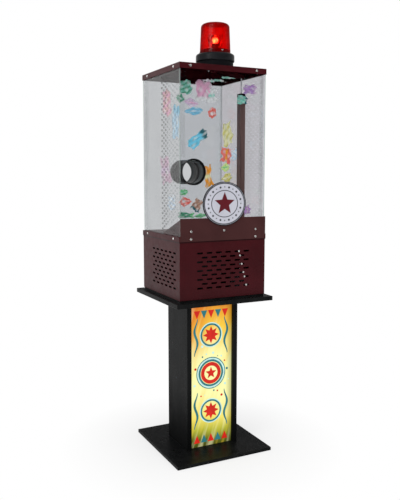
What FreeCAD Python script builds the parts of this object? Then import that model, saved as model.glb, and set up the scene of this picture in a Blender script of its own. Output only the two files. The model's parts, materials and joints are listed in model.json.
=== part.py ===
import FreeCAD, Part
import math
import os

# A paper-slip blower game: a clear chamber with a hand port stands over a vented blower base, a turning
# beacon sits on its lid, and a lit pedestal carries it all. Sizes are millimetres. The origin is on the floor
# under the middle of the base plate, +Z is up and the front faces -Y.

# Pedestal boards
BASE_PLATE_SIDE = 461.0
BASE_PLATE_T = 15.0
COLUMN_W = 250.0
COLUMN_D = 204.0
SIDE_BOARD_T = 21.0
BACK_BOARD_T = 12.0
TOP_PLATE_SIDE = 459.0
TOP_PLATE_T = 18.5
TOP_PAD_H = 8.5
TOP_PAD_INSET = 3.0
BOARD_EDGE_ROUND = 1.5
GRAPHIC_T = 4.0
GRAPHIC_RECESS = 16.0
GROOVE_DEPTH = 6.0
GROOVE_GAP = 0.3
WOOD_SCREW_R = 3.0
WOOD_SCREW_L = 50.0
WOOD_SCREW_HEAD_R = 5.0
WOOD_SCREW_HEAD_H = 4.0
WOOD_SCREW_SPACING = 65.0
WOOD_SCREW_GAP = 0.05

# Lamp behind the lit front
LAMP_TUBE_R = 13.0
LAMP_TUBE_L = 590.0
LAMP_PIN_R = 1.2
LAMP_PIN_L = 7.0
LAMP_PIN_SPACING = 12.7
LAMP_PIN_GAP = 0.1
LAMP_HOLDER_W = 32.0
LAMP_HOLDER_T = 12.0
LAMP_END_ROOM = 41.25
LAMP_STANDOFF = 34.0
BATTEN_W = 50.0
BATTEN_D = 32.0
BATTEN_EDGE = 4.0

# Cabinet base
CABINET_W = 413.0
CABINET_D = 403.0
BASE_H = 265.5
SHEET_T = 2.0
DECK_FLANGE_H = 23.0
POST_LEG = 20.0
SLOT_L = 28.0
SLOT_H = 8.0
SLOT_PITCH = 44.5
SLOT_ROW_PITCH = 18.5
SLOT_ROWS = 9
SLOTS_IN_LONG_ROW = 6
VENT_RISE = 120.5
SIDE_VENT_Y = -36.0
STIFFENER_X = 95.0
STIFFENER_W = 6.0
STIFFENER_L = 200.0
STIFFENER_TILT = -14.0
CABINET_BOLT_R = 4.0
CABINET_BOLT_HEAD_R = 7.5
CABINET_BOLT_HEAD_H = 5.0
CABINET_BOLT_GAP = 0.1
CABINET_BOLT_INSET = 36.0

# Blower
WHEEL_R = 68.0
WHEEL_W = 80.0
BLADES = 30
BLADE_DEPTH = 14.0
BLADE_T = 2.0
WHEEL_DISC_T = 3.0
HUB_R = 12.0
HUB_L = 24.0
SHAFT_R = 4.0
SHAFT_RUNNING_GAP = 0.05
SCROLL_SIDE_GAP = 5.0
SCROLL_CLEARANCE = 12.0
SCROLL_GROWTH = 12.0
SCROLL_FLOOR_GAP = 13.0
SCROLL_CENTRE_Y = 35.0
DUCT_START = 30.0
INLET_R = 50.0
MOTOR_R = 42.0
MOTOR_L = 70.0
MOTOR_EDGE = 5.0
MOTOR_BOSS_R = 16.0
MOTOR_BOSS_H = 6.0
SHAFT_IN_MOTOR = 50.0
SHAFT_HOLE_GAP = 4.0
BRACKET_FOOT = 30.0
BRACKET_H = 52.0
BRACKET_L = 80.0
GRILLE_MARGIN = 12.0
GRILLE_HOLE_R = 3.5
GRILLE_PITCH = 10.0

# Electrical box, power inlet and switch
CONTROL_BOX = (56.0, 60.0, 80.0)
CONTROL_BOX_EDGE = 3.0
CONTROL_BOX_WALL_GAP = 4.0
INLET_X = 120.0
INLET_RISE = 54.0
INLET_BODY = (54.0, 34.0, 32.0)
INLET_FLANGE_MARGIN = 4.0
INLET_FLANGE_T = 3.0
INLET_GAP = 0.2
SOCKET_RECESS = (24.0, 17.0, 18.0)
SOCKET_OFFSET = -12.0
SOCKET_PIN = (2.0, 5.0, 12.0)
SOCKET_PIN_SPACING = 7.0
SOCKET_PIN_DROP = 4.0
ROCKER_OFFSET = 15.0
ROCKER_W = 12.0
ROCKER_L = 22.0
ROCKER_RISE = 4.0
ROCKER_DEPTH = 7.0
ROCKER_HORN = 1.0
ROCKER_HOLLOW = 1.2
ROCKER_KEEL_W = 16.4
ROCKER_KEEL_DEPTH = 2.8
ROCKER_TILT = 10.0
ROCKER_GAP = 0.7
ROCKER_PIN_R = 1.5
ROCKER_PIN_L = 3.0
ROCKER_PIN_GAP = 0.06

# Clear chamber
CHAMBER_W = 400.0
CHAMBER_D = 396.0
CHAMBER_H = 696.0
PANEL_T = 5.0
STRIP_LEG = 20.0
STRIP_T = 3.0
STRIP_PORT_GAP = 8.0
BREATHER_R = 4.5
BREATHER_COLUMN_PITCH = 19.0
BREATHER_ROW_PITCH = 22.0
BREATHER_REAR_Y = -11.0
BREATHER_MARGIN = 28.0
BREATHER_END_GAP = 14.0
LID_FLANGE_H = 21.0
LID_GAP = 0.4
SKIRT_W = 406.0
SKIRT_UP = 75.0
SKIRT_DOWN = 20.0
RAMP_RISE = 73.0
RAMP_END_Y = 0.0

# Sheet screws and nuts
SCREW_R = 2.0
SCREW_L = 14.0
SCREW_HEAD_R = 5.0
SCREW_HEAD_H = 3.0
SCREW_HEAD_EDGE = 0.4
CROSS_W = 0.9
CROSS_DEPTH = 1.3
CROSS_MARGIN = 1.6
SCREW_GAP = 0.3
NUT_FLATS = 7.0
NUT_T = 3.2
NUT_GAP = 0.05
FRONT_SCREW_X = 154.0
SIDE_SCREW_Y = 142.0
SKIRT_SCREW_RISE = 22.0
DECK_SCREW_DROP = 10.0
LID_SCREW_DROP = 9.0

# Hand port
PORT_X = -142.0
PORT_RISE = 265.0
PORT_BORE_R = 48.0
PORT_WALL = 2.2
PORT_MOUTH_R = 52.0
PORT_RING_R = 54.0
PORT_RING_L = 10.0
PORT_RING_ROUND = 1.2
PORT_REACH = 113.0
PORT_GROOVE_DEPTH = 0.8
PORT_GROOVE_W = 9.0
PORT_GROOVE_PITCH = 30.0
PORT_GROOVES = 3
PORT_GAP = 0.3
LOCKNUT_R = 52.6
LOCKNUT_T = 8.0
LOCKNUT_GAP = 0.05
LOCKNUT_NOTCHES = 8
LOCKNUT_NOTCH_W = 8.0
LOCKNUT_NOTCH_DEPTH = 1.0

# Oval sign
SIGN_HALF_W = 98.5
SIGN_HALF_H = 88.5
SIGN_T = 4.0
SIGN_RISE = 133.5
SIGN_RIM_W = 3.0
SIGN_RIM_T = 5.0
SIGN_RIM_GAP = 0.05

# Wire trunking and the lead in it
TRUNK_W = 25.0
TRUNK_D = 30.0
TRUNK_WALL = 1.5
TRUNK_FRONT_Y = -39.0
TRUNK_HEAD_GAP = 65.0
LID_DUCT_H = 18.0
LID_DUCT_W = 24.0
LID_DUCT_PAST_TRUNK = 4.0
LID_DUCT_PAST_BEACON = 14.0
LEAD_R = 3.0
LEAD_BEND_R = 12.0
LEAD_GAP = 0.5

# Beacon
BEACON_Y = -118.0
FOOT_R = 76.0
FOOT_WALL = 8.0
FOOT_H = 23.0
FOOT_ROUND = 2.0
HOUSING_R = 81.0
HOUSING_H = 32.0
HOUSING_WALL = 4.0
HOUSING_ROUND = 10.0
HOUSING_LOWER_ROUND = 4.0
BOSS_R = 6.0
BOSS_CIRCLE_R = 58.0
BEACON_BOLT_R = 2.5
BEACON_BOLT_L = 18.0
BEACON_BOLT_HEAD_R = 4.5
BEACON_BOLT_HEAD_H = 3.0
BEACON_BOLT_GAP = 0.1
DOME_R = 64.5
DOME_TOP_R = 59.5
DOME_H = 123.5
DOME_WALL = 2.5
DOME_SHOULDER_H = 15.0
DOME_SHOULDER_W = 16.0
TURRET_R = 55.0
TURRET_H = 18.0
LUG_W = 10.0
LUG_H = 14.0
LUG_GAP = 0.2
DOME_SCREW_R = 1.5
DOME_SCREW_L = 7.0
DOME_SCREW_HEAD_R = 3.5
DOME_SCREW_HEAD_H = 2.0
DOME_SCREW_RISE = 9.0
DOME_SCREW_GAP = 0.2
LAMP_SOCKET_R = 15.0
LAMP_SOCKET_H = 26.0
LAMP_SOCKET_FLANGE_R = 17.5
LAMP_SOCKET_FLANGE_T = 4.0
LAMP_SOCKET_GAP = 0.1
BULB_R = 12.0
BULB_H = 27.0
BULB_CAP_R = 7.5
BULB_CAP_L = 12.0
BULB_CAP_GAP = 0.1
BULB_NECK = 1.0
GEAR_MODULE = 1.0
GEAR_TEETH = 42
PINION_TEETH = 18
PRESSURE_ANGLE = 20.0
TOOTH_THINNING = 0.14
TOOTH_ROOT_GAP = 0.25
FLANK_STEPS = 4
GEAR_T = 6.0
GEAR_RUNNING_GAP = 0.05
GEAR_SEAT_GAP = 0.3
PINION_DROP = 0.6
PINION_SHAFT_R = 1.5
PINION_SHAFT_HOLE_R = 3.0
PINION_SHAFT_IN_MOTOR = 10.0
BEACON_MOTOR_R = 12.0
BEACON_MOTOR_L = 30.0
BEACON_MOTOR_EDGE = 1.5
REFLECTOR_SWEEP = 160.0
REFLECTOR_AIM = 242.0
REFLECTOR_FOOT_R = 19.0
REFLECTOR_BELLY_R = 32.0
REFLECTOR_TOP_R = 29.0
REFLECTOR_H = 62.0
REFLECTOR_WALL = 1.5

# Paper slips. Each row is a wall, how far along and up that wall it lies (-1 to 1 and 0 to 1), its width and
# height, its turn in degrees and its layer.
SLIP_T = 0.5
SLIP_LAYER = 0.7
SLIPS = [
    ("rear", 0.03, 0.945, 62, 64, 4, 0),
    ("rear", -0.11, 0.870, 42, 36, -12, 1),
    ("rear", 0.50, 0.926, 72, 94, -3, 1),
    ("rear", 0.73, 0.900, 50, 60, 8, 0),
    ("rear", 0.25, 0.790, 92, 34, 6, 1),
    ("rear", 0.74, 0.785, 40, 52, -18, 0),
    ("rear", 0.35, 0.605, 110, 46, 38, 0),
    ("rear", 0.63, 0.355, 46, 100, 12, 0),
    ("right", 0.685, 0.415, 72, 38, 5, 0),
    ("rear", 0.00, 0.183, 60, 40, 5, 0),
    ("rear", -0.03, 0.248, 40, 30, 0, 1),
    ("rear", 0.33, 0.158, 44, 58, -32, 1),
    ("rear", 0.43, 0.085, 66, 18, 4, 0),
    ("rear", 0.03, 0.092, 78, 24, -3, 1),
    ("rear", -0.46, 0.835, 42, 116, 3, 0),
    ("rear", -0.23, 0.715, 34, 148, -1, 0),
    ("rear", -0.50, 0.395, 50, 116, 8, 0),
    ("rear", -0.35, 0.180, 40, 70, -5, 1),
    ("right", 0.56, 0.636, 92, 108, 14, 1),
    ("right", 0.62, 0.495, 90, 76, -10, 2),
    ("right", 0.60, 0.345, 98, 42, 5, 0),
    ("right", 0.20, 0.495, 58, 50, 10, 0),
    ("right", -0.492, 0.898, 104, 38, -6, 0),
    ("right", -0.40, 0.140, 50, 42, 14, 0),
    ("lid", 0.77, 0.14, 64, 36, 24, 0),
    ("lid", 0.50, 0.70, 62, 44, -30, 0),
    ("lid", 0.72, 0.66, 58, 40, 35, 1),
    ("rear", 0.18, 0.845, 68, 34, -8, 0),
    ("trunking", -0.36, 0.835, 84, 36, -7, 0),
]

# Levels. The lamp and the room at its ends set the column's height.
COLUMN_H = LAMP_TUBE_L + 2 * LAMP_END_ROOM
column_bottom = BASE_PLATE_T
column_top = column_bottom + COLUMN_H
plate_top = column_top + TOP_PLATE_T
cabinet_bottom = plate_top + TOP_PAD_H
floor_top = cabinet_bottom + SHEET_T
deck_top = cabinet_bottom + BASE_H
deck_under = deck_top - SHEET_T
lid_under = deck_top + CHAMBER_H
lid_top = lid_under + SHEET_T

# Half sizes of the nested boxes: the deck and its flange, the sheets inside the flange, and the chamber
deck_x = CABINET_W / 2
deck_y = CABINET_D / 2
shell_x = deck_x - SHEET_T
shell_y = deck_y - SHEET_T
hollow_x = shell_x - SHEET_T
hollow_y = shell_y - SHEET_T
chamber_x = CHAMBER_W / 2
chamber_y = CHAMBER_D / 2
inner_x = chamber_x - PANEL_T
inner_y = chamber_y - PANEL_T
lid_x = chamber_x + LID_GAP + SHEET_T
lid_y = chamber_y + LID_GAP + SHEET_T

port_z = deck_top + PORT_RISE
sign_z = deck_top + SIGN_RISE
BEACON = (0.0, BEACON_Y)


def vec(x, y, z):
    return FreeCAD.Vector(x, y, z)


def span(middle, width):
    """The low and the high end of a width about its middle."""
    return middle - width / 2, middle + width / 2


def block(x, y, z):
    """A box between a low and a high value on each axis."""
    corner = vec(x[0], y[0], z[0])
    return Part.makeBox(x[1] - x[0], y[1] - y[0], z[1] - z[0], corner)


def rod(radius, start, end):
    """A cylinder from one point to another."""
    along = vec(*end) - vec(*start)
    return Part.makeCylinder(radius, along.Length, vec(*start), along)


def aim(shape, at, direction):
    """Stands a shape made along +Z at a point, pointing along a direction."""
    turn = FreeCAD.Rotation(vec(0, 0, 1), vec(*direction))
    shape.Placement = FreeCAD.Placement(vec(*at), turn)
    return shape


def turned(points, middle=(0.0, 0.0), sweep=360.0, start=0.0):
    """Turns a straight-sided outline of (radius, height) points about a vertical line."""
    return turned_wire(polygon([vec(r, 0, z) for r, z in points]), middle, sweep, start)


def turned_wire(wire, middle=(0.0, 0.0), sweep=360.0, start=0.0):
    solid = Part.Face(wire).revolve(vec(0, 0, 0), vec(0, 0, 1), sweep)
    spin = FreeCAD.Rotation(vec(0, 0, 1), start)
    solid.Placement = FreeCAD.Placement(vec(middle[0], middle[1], 0), spin)
    return solid


def polygon(points):
    return Part.makePolygon(points + [points[0]])


def prism(points, height):
    """A straight-sided outline of (x, y) points, raised along +Z from the ground."""
    return Part.Face(polygon([vec(x, y, 0) for x, y in points])).extrude(vec(0, 0, height))


def arc_edge(centre, radius, start, end):
    """An arc in the XY plane between two angles, in degrees."""
    def at(angle):
        return vec(centre[0] + radius * math.cos(math.radians(angle)),
                   centre[1] + radius * math.sin(math.radians(angle)), 0)

    return Part.Arc(at(start), at((start + end) / 2), at(end)).toShape()


def line_edge(start, end):
    return Part.LineSegment(vec(start[0], start[1], 0), vec(end[0], end[1], 0)).toShape()


def rectangle(middle, width, height):
    x, y = middle
    w, h = width / 2, height / 2
    return polygon([vec(x - w, y - h, 0), vec(x + w, y - h, 0), vec(x + w, y + h, 0), vec(x - w, y + h, 0)])


def circle(middle, radius):
    return Part.Wire(Part.makeCircle(radius, vec(middle[0], middle[1], 0)))


def slot(middle, length, height):
    """A round-ended slot lying along X."""
    x, y = middle
    reach = length / 2 - height / 2
    r = height / 2
    return Part.Wire([
        line_edge((x - reach, y - r), (x + reach, y - r)),
        arc_edge((x + reach, y), r, -90, 90),
        line_edge((x + reach, y + r), (x - reach, y + r)),
        arc_edge((x - reach, y), r, 90, 270),
    ])


def sheet(outline, holes, thickness):
    """A flat sheet in the XY plane with holes through it."""
    return Part.makeFace([outline] + holes, "Part::FaceMakerBullseye").extrude(vec(0, 0, thickness))


def stand_facing_y(shape, back_y):
    """Stands a flat sheet up so that its outline's Y becomes Z and its thickness runs from back_y to -Y."""
    turn = FreeCAD.Rotation(vec(1, 0, 0), 90)
    shape.Placement = FreeCAD.Placement(vec(0, back_y, 0), turn)
    return shape


def stand_facing_x(shape, low_x):
    """Stands a flat sheet up so that its X becomes Y, its Y becomes Z and its thickness runs to +X."""
    shape.Placement = FreeCAD.Placement(FreeCAD.Matrix(0, 0, 1, low_x, 1, 0, 0, 0, 0, 1, 0, 0, 0, 0, 0, 1))
    return shape


def joined(shapes):
    return shapes[0].fuse(shapes[1:]).removeSplitter()


def group(shapes):
    return Part.makeCompound(shapes)


def around(count, start=0.0):
    return [start + 360.0 * i / count for i in range(count)]


def polar(radius, degrees, middle=(0.0, 0.0)):
    angle = math.radians(degrees)
    return middle[0] + radius * math.cos(angle), middle[1] + radius * math.sin(angle)


# Pedestal

def wood_screw_places():
    """The points where the column's side boards are screwed to the plates."""
    board_x = COLUMN_W / 2 - SIDE_BOARD_T / 2
    return [(side * board_x, step * WOOD_SCREW_SPACING) for side in (-1, 1) for step in (-1, 0, 1)]


def wood_screw(gap=0.0):
    """A screw with its flat head's top at the origin and its shank down -Z, or the hole that it goes in."""
    head = Part.makeCylinder(WOOD_SCREW_HEAD_R + gap, WOOD_SCREW_HEAD_H, vec(0, 0, -WOOD_SCREW_HEAD_H))
    shank = Part.makeCylinder(WOOD_SCREW_R + gap, WOOD_SCREW_L, vec(0, 0, -WOOD_SCREW_L))
    return joined([head, shank])


def wood_screws(gap=0.0):
    screws = []
    for x, y in wood_screw_places():
        screws.append(aim(wood_screw(gap), (x, y, 0), (0, 0, -1)))
        screws.append(aim(wood_screw(gap), (x, y, cabinet_bottom), (0, 0, 1)))
    return screws


def cabinet_bolt_places():
    x = hollow_x - CABINET_BOLT_INSET
    y = hollow_y - CABINET_BOLT_INSET
    return [(-x, -y), (x, -y), (x, y), (-x, y)]


def plate(side, low, high):
    half = side / 2
    board = block((-half, half), (-half, half), (low, high))
    return board.makeFillet(BOARD_EDGE_ROUND, board.Edges)


def base_plate():
    return plate(BASE_PLATE_SIDE, 0, BASE_PLATE_T).cut(wood_screws(WOOD_SCREW_GAP))


def top_plate():
    """The board that carries the cabinet, with a raised pad that the cabinet stands on."""
    half_x = shell_x - TOP_PAD_INSET
    half_y = shell_y - TOP_PAD_INSET
    pad = block((-half_x, half_x), (-half_y, half_y), (column_top + BOARD_EDGE_ROUND, cabinet_bottom))
    board = joined([plate(TOP_PLATE_SIDE, column_top, plate_top), pad])
    holes = [rod(CABINET_BOLT_R + CABINET_BOLT_GAP, (x, y, column_top), (x, y, cabinet_bottom))
             for x, y in cabinet_bolt_places()]
    return board.cut(wood_screws(WOOD_SCREW_GAP) + holes)


def graphic_span():
    """The lit panel's half width and its front and back faces."""
    half = COLUMN_W / 2 - SIDE_BOARD_T + GROOVE_DEPTH - GROOVE_GAP
    front = -COLUMN_D / 2 + GRAPHIC_RECESS
    return half, front, front + GRAPHIC_T


def column_side(side):
    outer = COLUMN_W / 2
    inner = outer - SIDE_BOARD_T
    half, front, back = graphic_span()
    board = block((inner, outer), (-COLUMN_D / 2, COLUMN_D / 2), (column_bottom, column_top))
    groove_y = (front - GROOVE_GAP, back + GROOVE_GAP)
    board = board.cut(block((inner, half + GROOVE_GAP), groove_y, (column_bottom, column_top)))
    if side < 0:
        board = board.mirror(vec(0, 0, 0), vec(1, 0, 0))
    return board.cut(wood_screws(WOOD_SCREW_GAP))


def column_back():
    half = COLUMN_W / 2 - SIDE_BOARD_T
    back = COLUMN_D / 2
    return block((-half, half), (back - BACK_BOARD_T, back), (column_bottom, column_top))


def graphic_panel():
    half, front, back = graphic_span()
    return block((-half, half), (front, back), (column_bottom, column_top - GROOVE_GAP))


def batten_front():
    return COLUMN_D / 2 - BACK_BOARD_T - BATTEN_D


def lamp_axis():
    return batten_front() - LAMP_STANDOFF


def lamp_ends():
    middle = (column_bottom + column_top) / 2
    return middle - LAMP_TUBE_L / 2, middle + LAMP_TUBE_L / 2


def lamp_pins(gap=0.0):
    y = lamp_axis()
    low, high = lamp_ends()
    pins = []
    for side in (-1, 1):
        x = side * LAMP_PIN_SPACING / 2
        pins.append(rod(LAMP_PIN_R + gap, (x, y, low - LAMP_PIN_L), (x, y, low)))
        pins.append(rod(LAMP_PIN_R + gap, (x, y, high), (x, y, high + LAMP_PIN_L)))
    return pins


def lamp_tube():
    y = lamp_axis()
    low, high = lamp_ends()
    return joined([rod(LAMP_TUBE_R, (0, y, low), (0, y, high))] + lamp_pins())


def lamp_holders():
    low, high = lamp_ends()
    half = LAMP_HOLDER_W / 2
    reach = (lamp_axis() - half, batten_front())
    lower = block((-half, half), reach, (low - LAMP_HOLDER_T, low))
    upper = block((-half, half), reach, (high, high + LAMP_HOLDER_T))
    return group([holder.cut(lamp_pins(LAMP_PIN_GAP)) for holder in (lower, upper)])


def lamp_batten():
    low, high = lamp_ends()
    half = BATTEN_W / 2
    front = batten_front()
    body = block((-half, half), (front, front + BATTEN_D), (low - LAMP_HOLDER_T, high + LAMP_HOLDER_T))
    front_edges = [e for e in body.Edges if e.BoundBox.YMax < front + BATTEN_D / 2]
    upright = [e for e in front_edges if e.BoundBox.ZLength > LAMP_TUBE_L]
    return body.makeChamfer(BATTEN_EDGE, upright)


# Screws and nuts of the sheet work

def screw_places():
    """Each sheet screw's seat, its outward direction and the thickness that it clamps."""
    places = []
    skirt_front = -deck_y - SHEET_T
    low_z = deck_top - DECK_SCREW_DROP
    high_z = deck_top + SKIRT_SCREW_RISE
    lid_z = lid_under - LID_SCREW_DROP
    flange_stack = 2 * SHEET_T
    skirt_high_stack = SHEET_T + (deck_y - chamber_y) + PANEL_T
    lid_stack = SHEET_T + LID_GAP + PANEL_T
    for x in (-FRONT_SCREW_X, 0.0, FRONT_SCREW_X):
        places.append(((x, skirt_front, high_z), (0, -1, 0), skirt_high_stack))
    for x in (-FRONT_SCREW_X, FRONT_SCREW_X):
        places.append(((x, skirt_front, low_z), (0, -1, 0), flange_stack + SHEET_T))
        places.append(((x, deck_y, low_z), (0, 1, 0), flange_stack))
        places.append(((x, -lid_y, lid_z), (0, -1, 0), lid_stack))
        places.append(((x, lid_y, lid_z), (0, 1, 0), lid_stack))
    for y in (-SIDE_SCREW_Y, SIDE_SCREW_Y):
        for side in (-1, 1):
            places.append(((side * deck_x, y, low_z), (side, 0, 0), flange_stack))
            places.append(((side * lid_x, y, lid_z), (side, 0, 0), lid_stack))
    return places


def pan_screw(head_r, head_h, shank_r, length):
    """A cross-recessed pan-head screw: its head stands up from the origin and its shank goes down."""
    soft = head_h - SCREW_HEAD_EDGE
    bend = soft * (1 - math.sqrt(0.5))
    rim = vec(head_r, 0, SCREW_HEAD_EDGE)
    crown = vec(head_r - soft, 0, head_h)
    rounding = Part.Arc(rim, vec(head_r - bend, 0, head_h - bend), crown).toShape()
    sides = Part.makePolygon([crown, vec(0, 0, head_h), vec(0, 0, -length), vec(shank_r, 0, -length),
                              vec(shank_r, 0, 0), vec(head_r, 0, 0), rim])
    screw = turned_wire(Part.Wire([rounding] + sides.Edges))
    reach = 2 * (head_r - CROSS_MARGIN)
    recess = (head_h - CROSS_DEPTH, head_h)
    bars = [block(span(0, reach), span(0, CROSS_W), recess), block(span(0, CROSS_W), span(0, reach), recess)]
    return screw.cut(bars)


def panel_screws():
    screws = []
    for seat, outward, stack in screw_places():
        screws.append(aim(pan_screw(SCREW_HEAD_R, SCREW_HEAD_H, SCREW_R, SCREW_L), seat, outward))
    return group(screws)


def panel_nuts():
    nuts = []
    corner_r = NUT_FLATS / 2 / math.cos(math.pi / 6)
    for seat, outward, stack in screw_places():
        nut = prism([polar(corner_r, a) for a in around(6)], NUT_T)
        nut = nut.cut(Part.makeCylinder(SCREW_R + NUT_GAP, NUT_T))
        inside = [s - o * stack for s, o in zip(seat, outward)]
        nuts.append(aim(nut, inside, [-o for o in outward]))
    return group(nuts)


def drilled(shape):
    """Drills the holes of every sheet screw that passes through a shape."""
    holes = []
    for seat, outward, stack in screw_places():
        end = [s - o * stack for s, o in zip(seat, outward)]
        hole = rod(SCREW_R + SCREW_GAP, seat, end)
        if hole.BoundBox.intersect(shape.BoundBox):
            holes.append(hole)
    return shape.cut(holes)


# Cabinet base

def cabinet_floor():
    pan = block((-hollow_x, hollow_x), (-hollow_y, hollow_y), (cabinet_bottom, floor_top))
    holes = [rod(CABINET_BOLT_R + CABINET_BOLT_GAP, (x, y, cabinet_bottom), (x, y, floor_top))
             for x, y in cabinet_bolt_places()]
    return pan.cut(holes)


def cabinet_bolts():
    bolts = []
    for x, y in cabinet_bolt_places():
        head = prism([polar(CABINET_BOLT_HEAD_R, a) for a in around(6)], CABINET_BOLT_HEAD_H)
        head.translate(vec(x, y, floor_top))
        shank = rod(CABINET_BOLT_R, (x, y, column_top), (x, y, floor_top + CABINET_BOLT_HEAD_H / 2))
        bolts.append(joined([head, shank]))
    return group(bolts)


def angle_outline(leg, thickness):
    """An angle's L-shaped outline with its outer corner at the origin."""
    return [(0, 0), (leg, 0), (leg, thickness), (thickness, thickness), (thickness, leg), (0, leg)]


def mirrored(shape, side_x, side_y):
    """Takes a shape in the corner of -X and -Y over to another corner."""
    if side_x > 0:
        shape = shape.mirror(vec(0, 0, 0), vec(1, 0, 0))
    if side_y > 0:
        shape = shape.mirror(vec(0, 0, 0), vec(0, 1, 0))
    return shape


def corner_posts():
    posts = []
    for side_x in (-1, 1):
        for side_y in (-1, 1):
            post = prism(angle_outline(POST_LEG, SHEET_T), deck_under - floor_top)
            post.translate(vec(-hollow_x, -hollow_y, floor_top))
            posts.append(mirrored(post, side_x, side_y))
    return group(posts)


def vent_slots(middle):
    """A field of slots in staggered rows: long rows, with rows one slot shorter between them."""
    slots = []
    for row in range(SLOT_ROWS):
        count = SLOTS_IN_LONG_ROW - row % 2
        rise = (row - (SLOT_ROWS - 1) / 2) * SLOT_ROW_PITCH
        for i in range(count):
            along = (i - (count - 1) / 2) * SLOT_PITCH
            slots.append(slot((middle[0] + along, middle[1] + rise), SLOT_L, SLOT_H))
    return slots


def front_vent_panel():
    height = deck_under - cabinet_bottom
    outline = rectangle((0, cabinet_bottom + height / 2), 2 * shell_x, height)
    panel = sheet(outline, vent_slots((0, cabinet_bottom + VENT_RISE)), SHEET_T)
    return drilled(stand_facing_y(panel, -hollow_y))


def side_sheet(low_x, slots):
    height = deck_under - cabinet_bottom
    outline = rectangle((0, cabinet_bottom + height / 2), 2 * hollow_y, height)
    return drilled(stand_facing_x(sheet(outline, slots, SHEET_T), low_x))


def left_vent_panel():
    return side_sheet(-shell_x, vent_slots((SIDE_VENT_Y, cabinet_bottom + VENT_RISE)))


def right_cover():
    return side_sheet(hollow_x, [])


def inlet_place():
    return INLET_X, cabinet_bottom + INLET_RISE


def rear_cover():
    height = deck_under - cabinet_bottom
    outline = rectangle((0, cabinet_bottom + height / 2), 2 * shell_x, height)
    cutout = rectangle(inlet_place(), INLET_BODY[0] + 2 * INLET_GAP, INLET_BODY[1] + 2 * INLET_GAP)
    return drilled(stand_facing_y(sheet(outline, [cutout], SHEET_T), shell_y))


def vent_stiffener():
    middle = cabinet_bottom + VENT_RISE
    strip = block(span(STIFFENER_X, STIFFENER_W), (-hollow_y, -hollow_y + SHEET_T), span(middle, STIFFENER_L))
    strip.rotate(vec(STIFFENER_X, 0, middle), vec(0, 1, 0), STIFFENER_TILT)
    return strip


def pan(half_x, half_y, top, drop):
    """A sheet with its four edges folded down."""
    outer = block((-half_x, half_x), (-half_y, half_y), (top - drop, top))
    inner_half_x = half_x - SHEET_T
    inner_half_y = half_y - SHEET_T
    inside = block((-inner_half_x, inner_half_x), (-inner_half_y, inner_half_y), (top - drop, top - SHEET_T))
    return outer.cut(inside)


def deck_pan():
    shape = pan(deck_x, deck_y, deck_top, DECK_FLANGE_H)
    start, end = duct_span()
    half = scroll_half()
    outlet = block((-half, half), (start, end), (deck_under, deck_top))
    x, y = trunk_middle()
    lead_hole = rod(LEAD_R + LEAD_GAP, (x, y, deck_under), (x, y, deck_top))
    return drilled(shape.cut([outlet, lead_hole]))


# Blower. Its wheel turns about a line along X, and its scroll is drawn in a plane that stands along Y and Z.

def scroll_half():
    return WHEEL_W / 2 + SCROLL_SIDE_GAP


def scroll_centre():
    start_r = WHEEL_R + SCROLL_CLEARANCE
    return SCROLL_CENTRE_Y, floor_top + SCROLL_FLOOR_GAP + start_r + SCROLL_GROWTH


def duct_span():
    """Where the upward duct starts and ends along Y."""
    y = SCROLL_CENTRE_Y
    return y + DUCT_START, y + WHEEL_R + SCROLL_CLEARANCE + 3 * SCROLL_GROWTH


def scroll_wire(offset):
    """The scroll's outline: three quarter arcs that grow by a step, then a duct up to the deck."""
    y, z = scroll_centre()
    start_r = WHEEL_R + SCROLL_CLEARANCE
    step = SCROLL_GROWTH
    start, end = duct_span()
    roof = z + start_r + offset
    left = start - offset
    right = end + offset
    return Part.Wire([
        arc_edge((y, z), start_r + offset, 90, 180),
        arc_edge((y + step, z), start_r + step + offset, 180, 270),
        arc_edge((y + step, z + step), start_r + 2 * step + offset, 270, 360),
        line_edge((right, z + step), (right, deck_under)),
        line_edge((right, deck_under), (left, deck_under)),
        line_edge((left, deck_under), (left, roof)),
        line_edge((left, roof), (y, roof)),
    ])


def scroll_prism(offset, low_x, high_x):
    solid = Part.Face(scroll_wire(offset)).extrude(vec(0, 0, high_x - low_x))
    return stand_facing_x(solid, low_x)


def blower_scroll():
    half = scroll_half()
    return scroll_prism(SHEET_T, -half, half).cut(scroll_prism(0, -half, half))


def blower_inlet_plate():
    y, z = scroll_centre()
    low = -scroll_half() - SHEET_T
    plate_solid = scroll_prism(SHEET_T, low, low + SHEET_T)
    return plate_solid.cut(rod(INLET_R, (low, y, z), (low + SHEET_T, y, z)))


def blower_motor_plate():
    y, z = scroll_centre()
    low = scroll_half()
    plate_solid = scroll_prism(SHEET_T, low, low + SHEET_T)
    return plate_solid.cut(rod(SHAFT_R + SHAFT_HOLE_GAP, (low, y, z), (low + SHEET_T, y, z)))


def blower_brackets():
    seat = scroll_half() + SHEET_T
    toe = seat + BRACKET_FOOT
    foot_top = floor_top + SHEET_T
    head = floor_top + BRACKET_H
    outline = [(seat, floor_top), (toe, floor_top), (toe, foot_top), (seat + SHEET_T, foot_top),
               (seat + SHEET_T, head), (seat, head)]
    right = stand_facing_y(prism(outline, BRACKET_L), SCROLL_CENTRE_Y + BRACKET_L / 2)
    left = right.mirror(vec(0, 0, 0), vec(1, 0, 0))
    return group([left, right])


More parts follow.
